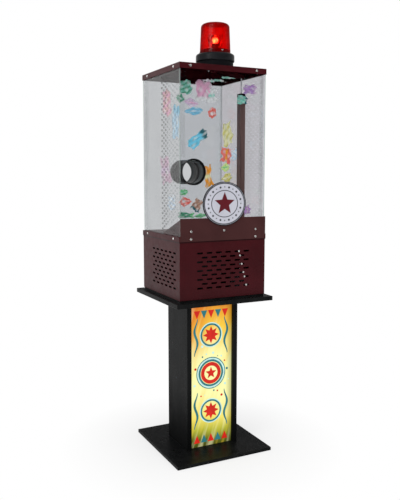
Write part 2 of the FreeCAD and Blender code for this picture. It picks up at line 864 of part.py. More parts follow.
def blower_motor():
    y, z = scroll_centre()
    start = scroll_half() + SHEET_T
    can = rod(MOTOR_R, (start, y, z), (start + MOTOR_L, y, z))
    far_rim = [e for e in can.Edges if e.BoundBox.XMin > start + MOTOR_L / 2]
    can = can.makeFillet(MOTOR_EDGE, far_rim)
    boss = rod(MOTOR_BOSS_R, (start + MOTOR_L - MOTOR_EDGE, y, z), (start + MOTOR_L + MOTOR_BOSS_H, y, z))
    bore = rod(SHAFT_R + SHAFT_RUNNING_GAP, (start, y, z), (start + SHAFT_IN_MOTOR + SHAFT_HOLE_GAP, y, z))
    return joined([can, boss]).cut(bore)


def blower_shaft():
    y, z = scroll_centre()
    hub_start = WHEEL_W / 2 - HUB_L
    return rod(SHAFT_R, (hub_start, y, z), (scroll_half() + SHEET_T + SHAFT_IN_MOTOR, y, z))


def blower_wheel():
    half = WHEEL_W / 2
    inner_r = WHEEL_R - BLADE_DEPTH
    disc = Part.makeCylinder(WHEEL_R, WHEEL_DISC_T, vec(0, 0, half - WHEEL_DISC_T))
    hub = Part.makeCylinder(HUB_R, HUB_L, vec(0, 0, half - HUB_L))
    ring = Part.makeCylinder(WHEEL_R, WHEEL_DISC_T, vec(0, 0, -half))
    ring = ring.cut(Part.makeCylinder(inner_r, WHEEL_DISC_T, vec(0, 0, -half)))
    parts = [disc, hub, ring]
    for angle in around(BLADES):
        blade = block((inner_r + BLADE_T / 2, WHEEL_R - BLADE_T / 2), (-BLADE_T / 2, BLADE_T / 2),
                      (-half + WHEEL_DISC_T / 2, half - WHEEL_DISC_T / 2))
        blade.rotate(vec(0, 0, 0), vec(0, 0, 1), angle)
        parts.append(blade)
    wheel = joined(parts).cut(Part.makeCylinder(SHAFT_R + SHAFT_RUNNING_GAP, WHEEL_W, vec(0, 0, -half)))
    y, z = scroll_centre()
    return aim(wheel, (0, y, z), (1, 0, 0))


def air_grille():
    """A perforated plate over the deck's outlet."""
    start, end = duct_span()
    half = scroll_half()
    middle = (0, (start + end) / 2)
    outline = rectangle(middle, 2 * (half + GRILLE_MARGIN), end - start + 2 * GRILLE_MARGIN)
    across = int((2 * half - 2 * GRILLE_HOLE_R) / GRILLE_PITCH)
    along = int((end - start - 2 * GRILLE_HOLE_R) / GRILLE_PITCH)
    holes = []
    for i in range(across + 1):
        for j in range(along + 1):
            centre = ((i - across / 2) * GRILLE_PITCH, middle[1] + (j - along / 2) * GRILLE_PITCH)
            holes.append(circle(centre, GRILLE_HOLE_R))
    plate_solid = sheet(outline, holes, SHEET_T)
    plate_solid.translate(vec(0, 0, deck_top))
    return plate_solid


# Electrical pieces

def trunk_middle():
    return inner_x - TRUNK_W / 2, TRUNK_FRONT_Y + TRUNK_D / 2


def control_box():
    width, depth, height = CONTROL_BOX
    wall_x = hollow_x - CONTROL_BOX_WALL_GAP
    y = trunk_middle()[1]
    box = block((wall_x - width, wall_x), (y - depth / 2, y + depth / 2), (floor_top, floor_top + height))
    upper_edges = [e for e in box.Edges if e.BoundBox.ZMax > floor_top + height / 2]
    return box.makeFillet(CONTROL_BOX_EDGE, upper_edges)


def rocker_pivot():
    x, z = inlet_place()
    return x + ROCKER_OFFSET, shell_y + INLET_FLANGE_T - ROCKER_RISE, z


def power_inlet():
    """An inlet and a switch housing in one moulding, set in the rear cover."""
    x, z = inlet_place()
    width, height, depth = INLET_BODY
    front = shell_y + INLET_FLANGE_T
    margin = INLET_FLANGE_MARGIN
    body = block(span(x, width), (shell_y - depth, front), span(z, height))
    flange = block(span(x, width + 2 * margin), (shell_y, front), span(z, height + 2 * margin))
    edges = [e for e in flange.Edges if e.BoundBox.YLength > INLET_FLANGE_T / 2]
    shape = joined([body, flange.makeFillet(margin, edges)])
    recess_w, recess_h, recess_d = SOCKET_RECESS
    sx = x + SOCKET_OFFSET
    recess_back = front - recess_d
    recess = block(span(sx, recess_w), (recess_back, front), span(z, recess_h))
    px, py, pz = rocker_pivot()
    room_w = ROCKER_W + 2 * ROCKER_GAP
    room_l = ROCKER_L + 2 * ROCKER_GAP
    room = block(span(px, room_w), (py - ROCKER_DEPTH - ROCKER_RISE, front), span(pz, room_l))
    pin_reach = room_w / 2 + ROCKER_PIN_L
    pin_hole = rod(ROCKER_PIN_R + ROCKER_PIN_GAP, (px - pin_reach, py, pz), (px + pin_reach, py, pz))
    shape = shape.cut([recess, room, pin_hole])
    pin_w, pin_h, pin_l = SOCKET_PIN
    pins = []
    for column, drop in ((-1, 0), (0, 1), (1, 0)):
        mid_x = sx + column * SOCKET_PIN_SPACING
        mid_z = z + SOCKET_PIN_DROP / 2 - drop * SOCKET_PIN_DROP
        pins.append(block(span(mid_x, pin_w), (recess_back - pin_w, recess_back + pin_l), span(mid_z, pin_h)))
    return joined([shape] + pins)


def switch_rocker():
    """A rocker whose outer face is a shallow hollow, tilted to its off position, on a pin along X."""
    px, py, pz = rocker_pivot()
    half = ROCKER_L / 2 - ROCKER_GAP
    keel = ROCKER_KEEL_W / 2
    horn = ROCKER_RISE + ROCKER_HORN
    side = [(-half, horn), (0, ROCKER_RISE - ROCKER_HOLLOW), (half, horn), (keel, -ROCKER_KEEL_DEPTH),
            (0, -ROCKER_DEPTH), (-keel, -ROCKER_KEEL_DEPTH)]
    paddle = prism([(y, z) for z, y in side], ROCKER_W)
    paddle = stand_facing_x(paddle, -ROCKER_W / 2)
    reach = ROCKER_W / 2 + ROCKER_PIN_L
    shape = joined([paddle, rod(ROCKER_PIN_R, (-reach, 0, 0), (reach, 0, 0))])
    shape.rotate(vec(0, 0, 0), vec(1, 0, 0), ROCKER_TILT)
    shape.translate(vec(px, py, pz))
    return shape


# Clear chamber

def panel_middle():
    return (deck_top + lid_under) / 2


def front_panel():
    outline = rectangle((0, panel_middle()), 2 * chamber_x, CHAMBER_H)
    port_hole = circle((PORT_X, port_z), PORT_BORE_R + PORT_WALL + PORT_GAP)
    return drilled(stand_facing_y(sheet(outline, [port_hole], PANEL_T), -inner_y))


def rear_panel():
    outline = rectangle((0, panel_middle()), 2 * chamber_x, CHAMBER_H)
    return drilled(stand_facing_y(sheet(outline, [], PANEL_T), chamber_y))


def breathers():
    """Staggered breather holes in the front part of a side panel, from the lid's flange down to the ramp."""
    high = lid_under - LID_FLANGE_H - BREATHER_END_GAP
    slope = RAMP_RISE / (RAMP_END_Y + inner_y)
    columns = int((inner_y - BREATHER_MARGIN + BREATHER_REAR_Y) / BREATHER_COLUMN_PITCH) + 1
    holes = []
    for column in range(columns):
        y = BREATHER_REAR_Y - column * BREATHER_COLUMN_PITCH
        low = deck_top + slope * (RAMP_END_Y - y) + BREATHER_END_GAP
        top = high - 0.5 * (column % 2) * BREATHER_ROW_PITCH
        for row in range(int((top - low) / BREATHER_ROW_PITCH) + 1):
            holes.append(circle((y, top - row * BREATHER_ROW_PITCH), BREATHER_R))
    return holes


def side_panel(side):
    outline = rectangle((0, panel_middle()), 2 * inner_y, CHAMBER_H)
    low_x = inner_x if side > 0 else -chamber_x
    return drilled(stand_facing_x(sheet(outline, breathers(), PANEL_T), low_x))


def corner_strip(side_x, side_y, low, high):
    strip = prism(angle_outline(STRIP_LEG, STRIP_T), high - low)
    strip.translate(vec(-inner_x, -inner_y, low))
    return mirrored(strip, side_x, side_y)


def corner_strips():
    """Clear angles glued in the chamber's corners. The one by the port stops above and below it."""
    ramp_top = deck_top + RAMP_RISE
    clear = LOCKNUT_R + STRIP_PORT_GAP
    return group([
        corner_strip(-1, -1, ramp_top, port_z - clear),
        corner_strip(-1, -1, port_z + clear, lid_under),
        corner_strip(1, -1, ramp_top, lid_under),
        corner_strip(-1, 1, deck_top, lid_under),
        corner_strip(1, 1, deck_top, lid_under),
    ])


def lid():
    shape = pan(lid_x, lid_y, lid_top, LID_FLANGE_H + SHEET_T)
    holes = [rod(LEAD_R + LEAD_GAP, (0, BEACON_Y, lid_under), (0, BEACON_Y, lid_top))]
    for x, y in boss_places():
        holes.append(rod(BEACON_BOLT_R + BEACON_BOLT_GAP, (x, y, lid_under), (x, y, lid_top)))
    return drilled(shape.cut(holes))


def front_skirt():
    front = -deck_y - SHEET_T
    half = SKIRT_W / 2
    return drilled(block((-half, half), (front, -deck_y), (deck_top - SKIRT_DOWN, deck_top + SKIRT_UP)))


def skirt_gasket():
    """The strip that fills the step between the skirt and the front panel."""
    return drilled(block((-chamber_x, chamber_x), (-deck_y, -chamber_y), (deck_top, deck_top + SKIRT_UP)))


def front_ramp():
    """A sloping floor inside the front with a three-cornered fold at each side."""
    top = deck_top + RAMP_RISE
    run = RAMP_END_Y + inner_y
    drop = SHEET_T * math.hypot(run, RAMP_RISE) / run
    toe = RAMP_END_Y - drop * run / RAMP_RISE
    side = [(-inner_y, top), (-inner_y, top - drop), (toe, deck_top), (RAMP_END_Y, deck_top)]
    slope = stand_facing_x(prism(side, 2 * inner_x), -inner_x)
    gusset = [(-inner_y, top), (-inner_y, deck_top), (RAMP_END_Y, deck_top)]
    left = stand_facing_x(prism(gusset, SHEET_T), -inner_x)
    right = stand_facing_x(prism(gusset, SHEET_T), inner_x - SHEET_T)
    x, y = trunk_middle()
    lead_hole = rod(LEAD_R + LEAD_GAP, (x, y, deck_top), (x, y, top))
    return joined([slope, left, right]).cut(lead_hole)


def ramp_wedge():
    """The room under the ramp's upper face."""
    outline = [(-inner_y, deck_top + RAMP_RISE), (-inner_y, deck_top), (RAMP_END_Y, deck_top)]
    return stand_facing_x(prism(outline, 2 * inner_x), -inner_x)


# Hand port, turned about a line along Y

def about_port(points):
    ring = turned([(r, y) for r, y in points])
    return aim(ring, (PORT_X, 0, port_z), (0, 1, 0))


def port_sleeve():
    outer_r = PORT_BORE_R + PORT_WALL
    front = -chamber_y - PORT_RING_L
    end = -inner_y + PORT_REACH
    soft = PORT_RING_ROUND
    shape = about_port([
        (PORT_BORE_R, -chamber_y), (PORT_MOUTH_R, front), (PORT_RING_R - soft, front),
        (PORT_RING_R, front + soft), (PORT_RING_R, -chamber_y), (outer_r, -chamber_y), (outer_r, end),
        (PORT_BORE_R, end)])
    cuts = []
    for i in range(PORT_GROOVES):
        mouth = end - (i + 0.5) * PORT_GROOVE_PITCH
        low, high = mouth - PORT_GROOVE_W / 2, mouth + PORT_GROOVE_W / 2
        deep_r = PORT_BORE_R + PORT_GROOVE_DEPTH
        open_r = PORT_BORE_R - PORT_WALL
        cuts.append(about_port([(open_r, low), (deep_r, low), (deep_r, high), (open_r, high)]))
        low, high = low + PORT_GROOVE_PITCH / 2, high + PORT_GROOVE_PITCH / 2
        waist_r = outer_r - PORT_GROOVE_DEPTH
        past_r = outer_r + PORT_WALL
        cuts.append(about_port([(waist_r, low), (past_r, low), (past_r, high), (waist_r, high)]))
    return shape.cut(cuts)


def port_locknut():
    bore = PORT_BORE_R + PORT_WALL + LOCKNUT_GAP
    ring = about_port([(bore, -inner_y), (LOCKNUT_R, -inner_y), (LOCKNUT_R, -inner_y + LOCKNUT_T),
                       (bore, -inner_y + LOCKNUT_T)])
    notches = []
    for angle in around(LOCKNUT_NOTCHES, 360.0 / LOCKNUT_NOTCHES / 2):
        notch = block(span(LOCKNUT_R, 2 * LOCKNUT_NOTCH_DEPTH), (-inner_y, -inner_y + LOCKNUT_T),
                      span(0, LOCKNUT_NOTCH_W))
        notch.rotate(vec(0, 0, 0), vec(0, 1, 0), angle)
        notch.translate(vec(PORT_X, 0, port_z))
        notches.append(notch)
    return ring.cut(notches)


# Oval sign on the skirt

def sign_oval(grow=0.0):
    """The sign's outline, a little wider than high, grown all round."""
    middle = vec(0, sign_z, 0)
    return Part.Wire(Part.Ellipse(middle, SIGN_HALF_W + grow, SIGN_HALF_H + grow).toShape())


def sign_disc():
    return stand_facing_y(sheet(sign_oval(), [], SIGN_T), -deck_y - SHEET_T)


def sign_rim():
    inner = sign_oval(SIGN_RIM_GAP)
    outer = sign_oval(SIGN_RIM_GAP + SIGN_RIM_W)
    return stand_facing_y(sheet(outer, [inner], SIGN_RIM_T), -deck_y - SHEET_T)


# Wire trunking on the right wall and under the lid

def lid_duct_ends():
    """The duct's unit direction from the trunking to the beacon, and its length between the two."""
    x, y = trunk_middle()
    length = math.hypot(x, BEACON_Y - y)
    return (-x / length, (BEACON_Y - y) / length), length


def wire_trunking():
    """An upright channel with its open side to the wall, cut to the ramp's slope at its foot.

    It ends below the lid, and the bare lead goes on up into the lid's duct.
    """
    bottom = deck_top
    top = lid_under - LID_DUCT_H - TRUNK_HEAD_GAP
    wall = TRUNK_WALL
    front = TRUNK_FRONT_Y
    back = TRUNK_FRONT_Y + TRUNK_D
    outer = block((inner_x - TRUNK_W, inner_x), (front, back), (bottom, top))
    inside = block((inner_x - TRUNK_W + wall, inner_x), (front + wall, back - wall), (bottom, top))
    return outer.cut([inside, ramp_wedge()])


def lid_duct():
    """A channel under the lid from over the trunking to the beacon, with a hole where the lead comes up."""
    top = lid_under
    bottom = lid_under - LID_DUCT_H
    wall = TRUNK_WALL
    direction, length = lid_duct_ends()
    half = LID_DUCT_W / 2
    start = -LID_DUCT_PAST_TRUNK
    end = length + LID_DUCT_PAST_BEACON
    outer = block((start, end), (-half, half), (bottom, top))
    inside = block((start + wall, end - wall), (-half + wall, half - wall), (bottom + wall, top))
    lead_hole = rod(half - 2 * wall, (0, 0, bottom), (0, 0, bottom + wall))
    duct = outer.cut([inside, lead_hole])
    x, y = trunk_middle()
    turn = FreeCAD.Rotation(vec(1, 0, 0), vec(direction[0], direction[1], 0))
    duct.Placement = FreeCAD.Placement(vec(x, y, 0), turn)
    return duct


def beacon_lead():
    """The lead from the control box, up the trunking and along the lid to the beacon's lamp socket."""
    x, y = trunk_middle()
    run_z = lid_under - LID_DUCT_H / 2
    bottom = floor_top + CONTROL_BOX[2]
    top = housing_top() + TURRET_H - HOUSING_WALL - LAMP_SOCKET_FLANGE_T
    direction, length = lid_duct_ends()
    along = vec(direction[0], direction[1], 0)
    up = vec(0, 0, 1)
    r = LEAD_BEND_R
    first = vec(x, y, run_z)
    second = first + along * length
    diagonal = r * (1 - math.sqrt(0.5))
    a, b = first - up * r, first + along * r
    c, d = second - along * r, second + up * r
    path = Part.Wire([
        Part.LineSegment(vec(x, y, bottom), a).toShape(),
        Part.Arc(a, first + along * diagonal - up * diagonal, b).toShape(),
        Part.LineSegment(b, c).toShape(),
        Part.Arc(c, second - along * diagonal + up * diagonal, d).toShape(),
        Part.LineSegment(d, vec(second.x, second.y, top)).toShape(),
    ])
    section = Part.Wire(Part.makeCircle(LEAD_R, vec(x, y, bottom), up))
    return path.makePipeShell([section], True, False)


# Beacon

def housing_bottom():
    return lid_top + FOOT_H


def housing_top():
    return housing_bottom() + HOUSING_H


def boss_places():
    return [polar(BOSS_CIRCLE_R, a, BEACON) for a in around(3, 90)]


def beacon_foot():
    inner = FOOT_R - FOOT_WALL
    return turned([(inner, lid_top), (FOOT_R, lid_top), (FOOT_R, housing_bottom() - FOOT_ROUND),
                   (FOOT_R - FOOT_ROUND, housing_bottom()), (inner, housing_bottom())], BEACON)


def dome_screw_angles():
    return around(3, -90)


def beacon_base():
    """The housing: a rounded ring, a turret that carries the works, three bosses and three screw lugs."""
    low = housing_bottom()
    high = housing_top()
    cavity_r = FOOT_R - FOOT_WALL
    r = HOUSING_ROUND
    s = HOUSING_LOWER_ROUND
    bend = 1 - math.sqrt(0.5)
    turret_top = high + TURRET_H
    edges = [
        Part.LineSegment(vec(cavity_r, 0, low), vec(HOUSING_R - s, 0, low)).toShape(),
        Part.Arc(vec(HOUSING_R - s, 0, low), vec(HOUSING_R - s * bend, 0, low + s * bend),
                 vec(HOUSING_R, 0, low + s)).toShape(),
        Part.LineSegment(vec(HOUSING_R, 0, low + s), vec(HOUSING_R, 0, high - r)).toShape(),
        Part.Arc(vec(HOUSING_R, 0, high - r), vec(HOUSING_R - r * bend, 0, high - r * bend),
                 vec(HOUSING_R - r, 0, high)).toShape(),
    ]
    rest = [vec(HOUSING_R - r, 0, high), vec(TURRET_R, 0, high), vec(TURRET_R, 0, turret_top),
            vec(0, 0, turret_top), vec(0, 0, turret_top - HOUSING_WALL),
            vec(TURRET_R - HOUSING_WALL, 0, turret_top - HOUSING_WALL),
            vec(TURRET_R - HOUSING_WALL, 0, high - HOUSING_WALL), vec(cavity_r, 0, high - HOUSING_WALL),
            vec(cavity_r, 0, low)]
    parts = [turned_wire(Part.Wire(edges + Part.makePolygon(rest).Edges), BEACON)]
    for x, y in boss_places():
        parts.append(rod(BOSS_R, (x, y, lid_top), (x, y, high - HOUSING_WALL / 2)))
    lug_reach = DOME_R - DOME_WALL - LUG_GAP - taper_at(DOME_SCREW_RISE + LUG_H / 2)
    for angle in dome_screw_angles():
        lug = block((TURRET_R - HOUSING_WALL / 2, lug_reach), (-LUG_W / 2, LUG_W / 2), (high, high + LUG_H))
        lug.rotate(vec(0, 0, 0), vec(0, 0, 1), angle)
        lug.translate(vec(BEACON[0], BEACON[1], 0))
        parts.append(lug)
    shape = joined(parts)
    under = turret_top - HOUSING_WALL
    px, py = pinion_place()
    holes = [rod(LAMP_SOCKET_R + LAMP_SOCKET_GAP, (*BEACON, under), (*BEACON, turret_top)),
             rod(PINION_SHAFT_HOLE_R, (px, py, under), (px, py, turret_top))]
    for x, y in boss_places():
        holes.append(rod(BEACON_BOLT_R + BEACON_BOLT_GAP, (x, y, lid_top), (x, y, lid_top + BEACON_BOLT_L)))
    return shape.cut(holes + dome_screw_holes())


def taper_at(rise):
    """How much narrower the dome is at a height above its seat."""
    return (DOME_R - DOME_TOP_R) * rise / (DOME_H - DOME_SHOULDER_H)


def dome_outline(wall):
    low = housing_top()
    shoulder = low + DOME_H - DOME_SHOULDER_H
    bend = math.sqrt(0.5)
    side_r = DOME_TOP_R - wall
    crown_r = DOME_TOP_R - DOME_SHOULDER_W
    rise = DOME_SHOULDER_H - wall
    sweep = DOME_SHOULDER_W - wall
    top = shoulder + rise
    middle = vec(crown_r + sweep * bend, 0, shoulder + rise * bend)
    edges = [
        Part.LineSegment(vec(0, 0, low), vec(DOME_R - wall, 0, low)).toShape(),
        Part.LineSegment(vec(DOME_R - wall, 0, low), vec(side_r, 0, shoulder)).toShape(),
        Part.Arc(vec(side_r, 0, shoulder), middle, vec(crown_r, 0, top)).toShape(),
        Part.LineSegment(vec(crown_r, 0, top), vec(0, 0, top)).toShape(),
        Part.LineSegment(vec(0, 0, top), vec(0, 0, low)).toShape(),
    ]
    return turned_wire(Part.Wire(edges), BEACON)


def dome_screw_seats():
    seats = []
    for angle in dome_screw_angles():
        radius = DOME_R - taper_at(DOME_SCREW_RISE - DOME_SCREW_HEAD_R)
        x, y = polar(radius, angle, BEACON)
        out_x, out_y = polar(1.0, angle)
        seats.append(((x, y, housing_top() + DOME_SCREW_RISE), (out_x, out_y, 0)))
    return seats


def dome_screw_holes():
    holes = []
    for seat, outward in dome_screw_seats():
        end = [s - o * (DOME_SCREW_L + DOME_SCREW_R) for s, o in zip(seat, outward)]
        holes.append(rod(DOME_SCREW_R + DOME_SCREW_GAP, seat, end))
    return holes


def beacon_dome():
    return dome_outline(0.0).cut(dome_outline(DOME_WALL)).cut(dome_screw_holes())


def dome_screws():
    screws = []
    for seat, outward in dome_screw_seats():
        screw = pan_screw(DOME_SCREW_HEAD_R, DOME_SCREW_HEAD_H, DOME_SCREW_R, DOME_SCREW_L)
        screws.append(aim(screw, seat, outward))
    return group(screws)


def beacon_bolts():
    bolts = []
    for x, y in boss_places():
        bolt = pan_screw(BEACON_BOLT_HEAD_R, BEACON_BOLT_HEAD_H, BEACON_BOLT_R, BEACON_BOLT_L)
        bolts.append(aim(bolt, (x, y, lid_under), (0, 0, -1)))
    return group(bolts)


def socket_top():
    return housing_top() + TURRET_H + LAMP_SOCKET_H


def bulb_socket():
    under = housing_top() + TURRET_H - HOUSING_WALL
    bottom = under - LAMP_SOCKET_FLANGE_T
    top = socket_top()
    cap_r = BULB_CAP_R + BULB_CAP_GAP
    return turned([(0, bottom), (LAMP_SOCKET_FLANGE_R, bottom), (LAMP_SOCKET_FLANGE_R, under),
                   (LAMP_SOCKET_R, under), (LAMP_SOCKET_R, top), (cap_r, top), (cap_r, top - BULB_CAP_L),
                   (0, top - BULB_CAP_L)], BEACON)


def beacon_bulb():
    bottom = socket_top() - BULB_CAP_L
    neck = socket_top() + BULB_NECK
    belly = socket_top() + BULB_H - BULB_R
    bend = BULB_R * math.sqrt(0.5)
    top = vec(0, 0, belly + BULB_R)
    shoulder = vec(BULB_R, 0, belly)
    crown = Part.Arc(shoulder, vec(bend, 0, belly + bend), top).toShape()
    sides = Part.makePolygon([top, vec(0, 0, bottom), vec(BULB_CAP_R, 0, bottom), vec(BULB_CAP_R, 0, neck),
                              shoulder])
    return turned_wire(Part.Wire([crown] + sides.Edges), BEACON)


def gear_outline(teeth, start):
    """An involute gear's outline, with one tooth centred on a starting angle."""
    pitch_r = GEAR_MODULE * teeth / 2
    base_r = pitch_r * math.cos(math.radians(PRESSURE_ANGLE))
    tip_r = pitch_r + GEAR_MODULE
    root_r = pitch_r - GEAR_MODULE * (1 + TOOTH_ROOT_GAP)

    def involute(radius):
        slack = math.acos(min(1.0, base_r / radius))
        return math.tan(slack) - slack

    half_tooth = (math.pi * GEAR_MODULE / 2 - TOOTH_THINNING) / 2 / pitch_r + involute(pitch_r)
    flank_start = max(base_r, root_r)
    points = []
    for tooth in range(teeth):
        middle = math.radians(start) + 2 * math.pi * tooth / teeth
        flank = []
        for step in range(FLANK_STEPS + 1):
            radius = flank_start + (tip_r - flank_start) * step / FLANK_STEPS
            flank.append((radius, half_tooth - involute(radius)))
        if root_r < base_r:
            flank.insert(0, (root_r, flank[0][1]))
        for radius, lean in flank:
            points.append((radius * math.cos(middle - lean), radius * math.sin(middle - lean)))
        for radius, lean in reversed(flank):
            points.append((radius * math.cos(middle + lean), radius * math.sin(middle + lean)))
    return points


def gear_bottom():
    return housing_top() + TURRET_H + GEAR_SEAT_GAP


def pinion_place():
    return BEACON[0] + GEAR_MODULE * (GEAR_TEETH + PINION_TEETH) / 2, BEACON[1]


def reflector_gear():
    ring = prism(gear_outline(GEAR_TEETH, 0.0), GEAR_T)
    ring = ring.cut(Part.makeCylinder(LAMP_SOCKET_R + GEAR_RUNNING_GAP, GEAR_T))
    ring.translate(vec(BEACON[0], BEACON[1], gear_bottom()))
    return ring


def beacon_pinion():
    px, py = pinion_place()
    height = GEAR_T - PINION_DROP
    wheel = prism(gear_outline(PINION_TEETH, 180.0 + 180.0 / PINION_TEETH), height)
    wheel.translate(vec(px, py, gear_bottom()))
    low = housing_top() + TURRET_H - HOUSING_WALL - PINION_SHAFT_IN_MOTOR
    return joined([wheel, rod(PINION_SHAFT_R, (px, py, low), (px, py, gear_bottom() + height / 2))])


def beacon_motor():
    px, py = pinion_place()
    high = housing_top() + TURRET_H - HOUSING_WALL
    can = rod(BEACON_MOTOR_R, (px, py, high - BEACON_MOTOR_L), (px, py, high))
    lower_rim = [e for e in can.Edges if e.BoundBox.ZMax < high - BEACON_MOTOR_L / 2]
    can = can.makeFillet(BEACON_MOTOR_EDGE, lower_rim)
    bore_r = PINION_SHAFT_R + GEAR_RUNNING_GAP
    return can.cut(rod(bore_r, (px, py, high - PINION_SHAFT_IN_MOTOR - PINION_SHAFT_R), (px, py, high)))


def beacon_reflector():
    """A curved mirror that stands on the gear behind the bulb."""
    low = gear_bottom() + GEAR_T
    high = low + REFLECTOR_H

    middle = (low + high) / 2
    profile = ((REFLECTOR_FOOT_R, low), (REFLECTOR_BELLY_R, middle), (REFLECTOR_TOP_R, high))
    inside = [vec(r, 0, z) for r, z in profile]
    outside = [vec(r + REFLECTOR_WALL, 0, z) for r, z in profile]
    wire = Part.Wire([
        Part.Arc(*inside).toShape(),
        Part.LineSegment(inside[2], outside[2]).toShape(),
        Part.Arc(outside[2], outside[1], outside[0]).toShape(),
        Part.LineSegment(outside[0], inside[0]).toShape(),
    ])
    return turned_wire(wire, BEACON, REFLECTOR_SWEEP, REFLECTOR_AIM + 180 - REFLECTOR_SWEEP / 2)


# Paper slips against the chamber's walls

def slip(wall, along, up, width, height, turn, layer):
    card = block((-width / 2, width / 2), (-height / 2, height / 2), (0, SLIP_T))
    card.rotate(vec(0, 0, 0), vec(0, 0, 1), turn)
    card.translate(vec(0, 0, layer * SLIP_LAYER))
    middle_z = deck_top + up * CHAMBER_H
    if wall == "rear":
        on_wall = vec(along * inner_x, inner_y, middle_z)
        turn_up = FreeCAD.Placement(on_wall, FreeCAD.Rotation(vec(1, 0, 0), 90))
    elif wall in ("right", "trunking"):
        wall_x = inner_x if wall == "right" else inner_x - TRUNK_W
        face = FreeCAD.Matrix(0, 0, -1, wall_x, -1, 0, 0, along * inner_y, 0, 1, 0, middle_z, 0, 0, 0, 1)
        turn_up = FreeCAD.Placement(face)
    else:
        under = vec(along * inner_x, up * inner_y, lid_under)
        turn_up = FreeCAD.Placement(under, FreeCAD.Rotation(vec(1, 0, 0), 180))
    card.Placement = turn_up.multiply(card.Placement)
    return card


def prize_slips():
    return group([slip(*row) for row in SLIPS])


PARTS = {
    "base_plate": base_plate(),
    "column_left": column_side(-1),
    "column_right": column_side(1),
    "column_back": column_back(),
    "graphic_panel": graphic_panel(),
    "lamp_batten": lamp_batten(),
    "lamp_holders": lamp_holders(),
    "lamp_tube": lamp_tube(),
    "top_plate": top_plate(),
    "column_screws": group(wood_screws()),
    "cabinet_floor": cabinet_floor(),
    "cabinet_bolts": cabinet_bolts(),
    "corner_posts": corner_posts(),
    "front_vent_panel": front_vent_panel(),
    "left_vent_panel": left_vent_panel(),
    "right_cover": right_cover(),
    "rear_cover": rear_cover(),
    "vent_stiffener": vent_stiffener(),
    "deck_pan": deck_pan(),
    "air_grille": air_grille(),
    "panel_screws": panel_screws(),
    "panel_nuts": panel_nuts(),
    "blower_scroll": blower_scroll(),
    "blower_inlet_plate": blower_inlet_plate(),
    "blower_motor_plate": blower_motor_plate(),
    "blower_brackets": blower_brackets(),
    "blower_motor": blower_motor(),
    "blower_wheel": blower_wheel(),
    "blower_shaft": blower_shaft(),
    "control_box": control_box(),
    "power_inlet": power_inlet(),
    "switch_rocker": switch_rocker(),
    "front_panel": front_panel(),
    "left_panel": side_panel(-1),
    "right_panel": side_panel(1),
    "rear_panel": rear_panel(),
    "corner_strips": corner_strips(),
    "lid": lid(),
    "front_skirt": front_skirt(),
    "skirt_gasket": skirt_gasket(),
    "front_ramp": front_ramp(),
    "port_sleeve": port_sleeve(),
    "port_locknut": port_locknut(),
    "sign_disc": sign_disc(),
    "sign_rim": sign_rim(),
    "wire_trunking": wire_trunking(),
    "lid_duct": lid_duct(),
    "beacon_lead": beacon_lead(),
    "beacon_foot": beacon_foot(),
    "beacon_base": beacon_base(),
    "beacon_bolts": beacon_bolts(),
    "beacon_dome": beacon_dome(),
    "dome_screws": dome_screws(),
    "bulb_socket": bulb_socket(),
    "beacon_bulb": beacon_bulb(),
    "reflector_gear": reflector_gear(),
    "beacon_reflector": beacon_reflector(),
    "beacon_pinion": beacon_pinion(),
    "beacon_motor": beacon_motor(),
    "prize_slips": prize_slips(),
}

os.makedirs("parts", exist_ok=True)
for name, shape in PARTS.items():
    shape.exportStep(f"parts/{name}.step")
    state = "valid" if shape.isValid() else "INVALID"
    print(name, len(shape.Solids), "solids", round(shape.Volume), "mm3", state)
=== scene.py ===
"""Dresses a packed paper-slip blower machine: finishes, prints, paper slips, beacon lens and studio."""

import json
import math

import bmesh
import bpy
from mathutils import Matrix, Vector


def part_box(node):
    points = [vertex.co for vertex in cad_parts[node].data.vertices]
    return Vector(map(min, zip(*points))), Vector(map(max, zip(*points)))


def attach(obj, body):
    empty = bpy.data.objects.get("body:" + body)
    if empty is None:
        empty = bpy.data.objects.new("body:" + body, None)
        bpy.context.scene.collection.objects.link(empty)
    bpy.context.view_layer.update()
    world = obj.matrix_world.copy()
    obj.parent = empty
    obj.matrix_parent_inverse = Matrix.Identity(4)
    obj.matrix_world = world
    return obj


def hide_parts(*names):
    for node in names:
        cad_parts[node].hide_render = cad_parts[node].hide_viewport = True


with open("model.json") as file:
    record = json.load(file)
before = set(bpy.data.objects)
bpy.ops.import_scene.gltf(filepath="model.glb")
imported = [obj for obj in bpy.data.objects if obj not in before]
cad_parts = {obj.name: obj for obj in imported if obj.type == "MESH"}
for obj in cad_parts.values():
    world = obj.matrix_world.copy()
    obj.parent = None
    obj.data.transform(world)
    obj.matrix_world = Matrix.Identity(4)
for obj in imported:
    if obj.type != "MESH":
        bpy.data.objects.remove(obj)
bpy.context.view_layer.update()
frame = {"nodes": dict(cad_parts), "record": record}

bl_info = {
    "name": "Paper-Slip Blower Machine",
    "version": (1, 0, 0),
    "blender": (4, 5, 0),
    "location": "View3D > Sidebar > Blower Machine",
    "description": "Finishes, prints, slips, beacon lens and studio for a packed blower machine",
    "category": "Object",
}

CABINET = "cabinet"
TURN = 2 * math.pi
UPRIGHT = Matrix.Rotation(math.pi / 2, 4, "X")
ALONG_X = (1.0, 0.0, 0.0)
ALONG_Y = (0.0, 1.0, 0.0)
ALONG_Z = (0.0, 0.0, 1.0)
MERGE = 1e-6
NOISE_SPAN = (0.3, 0.7)
CLEAR_LAYERS = 40
SENSOR_MM = 36.0
FLOOR_RADIUS = 12.0

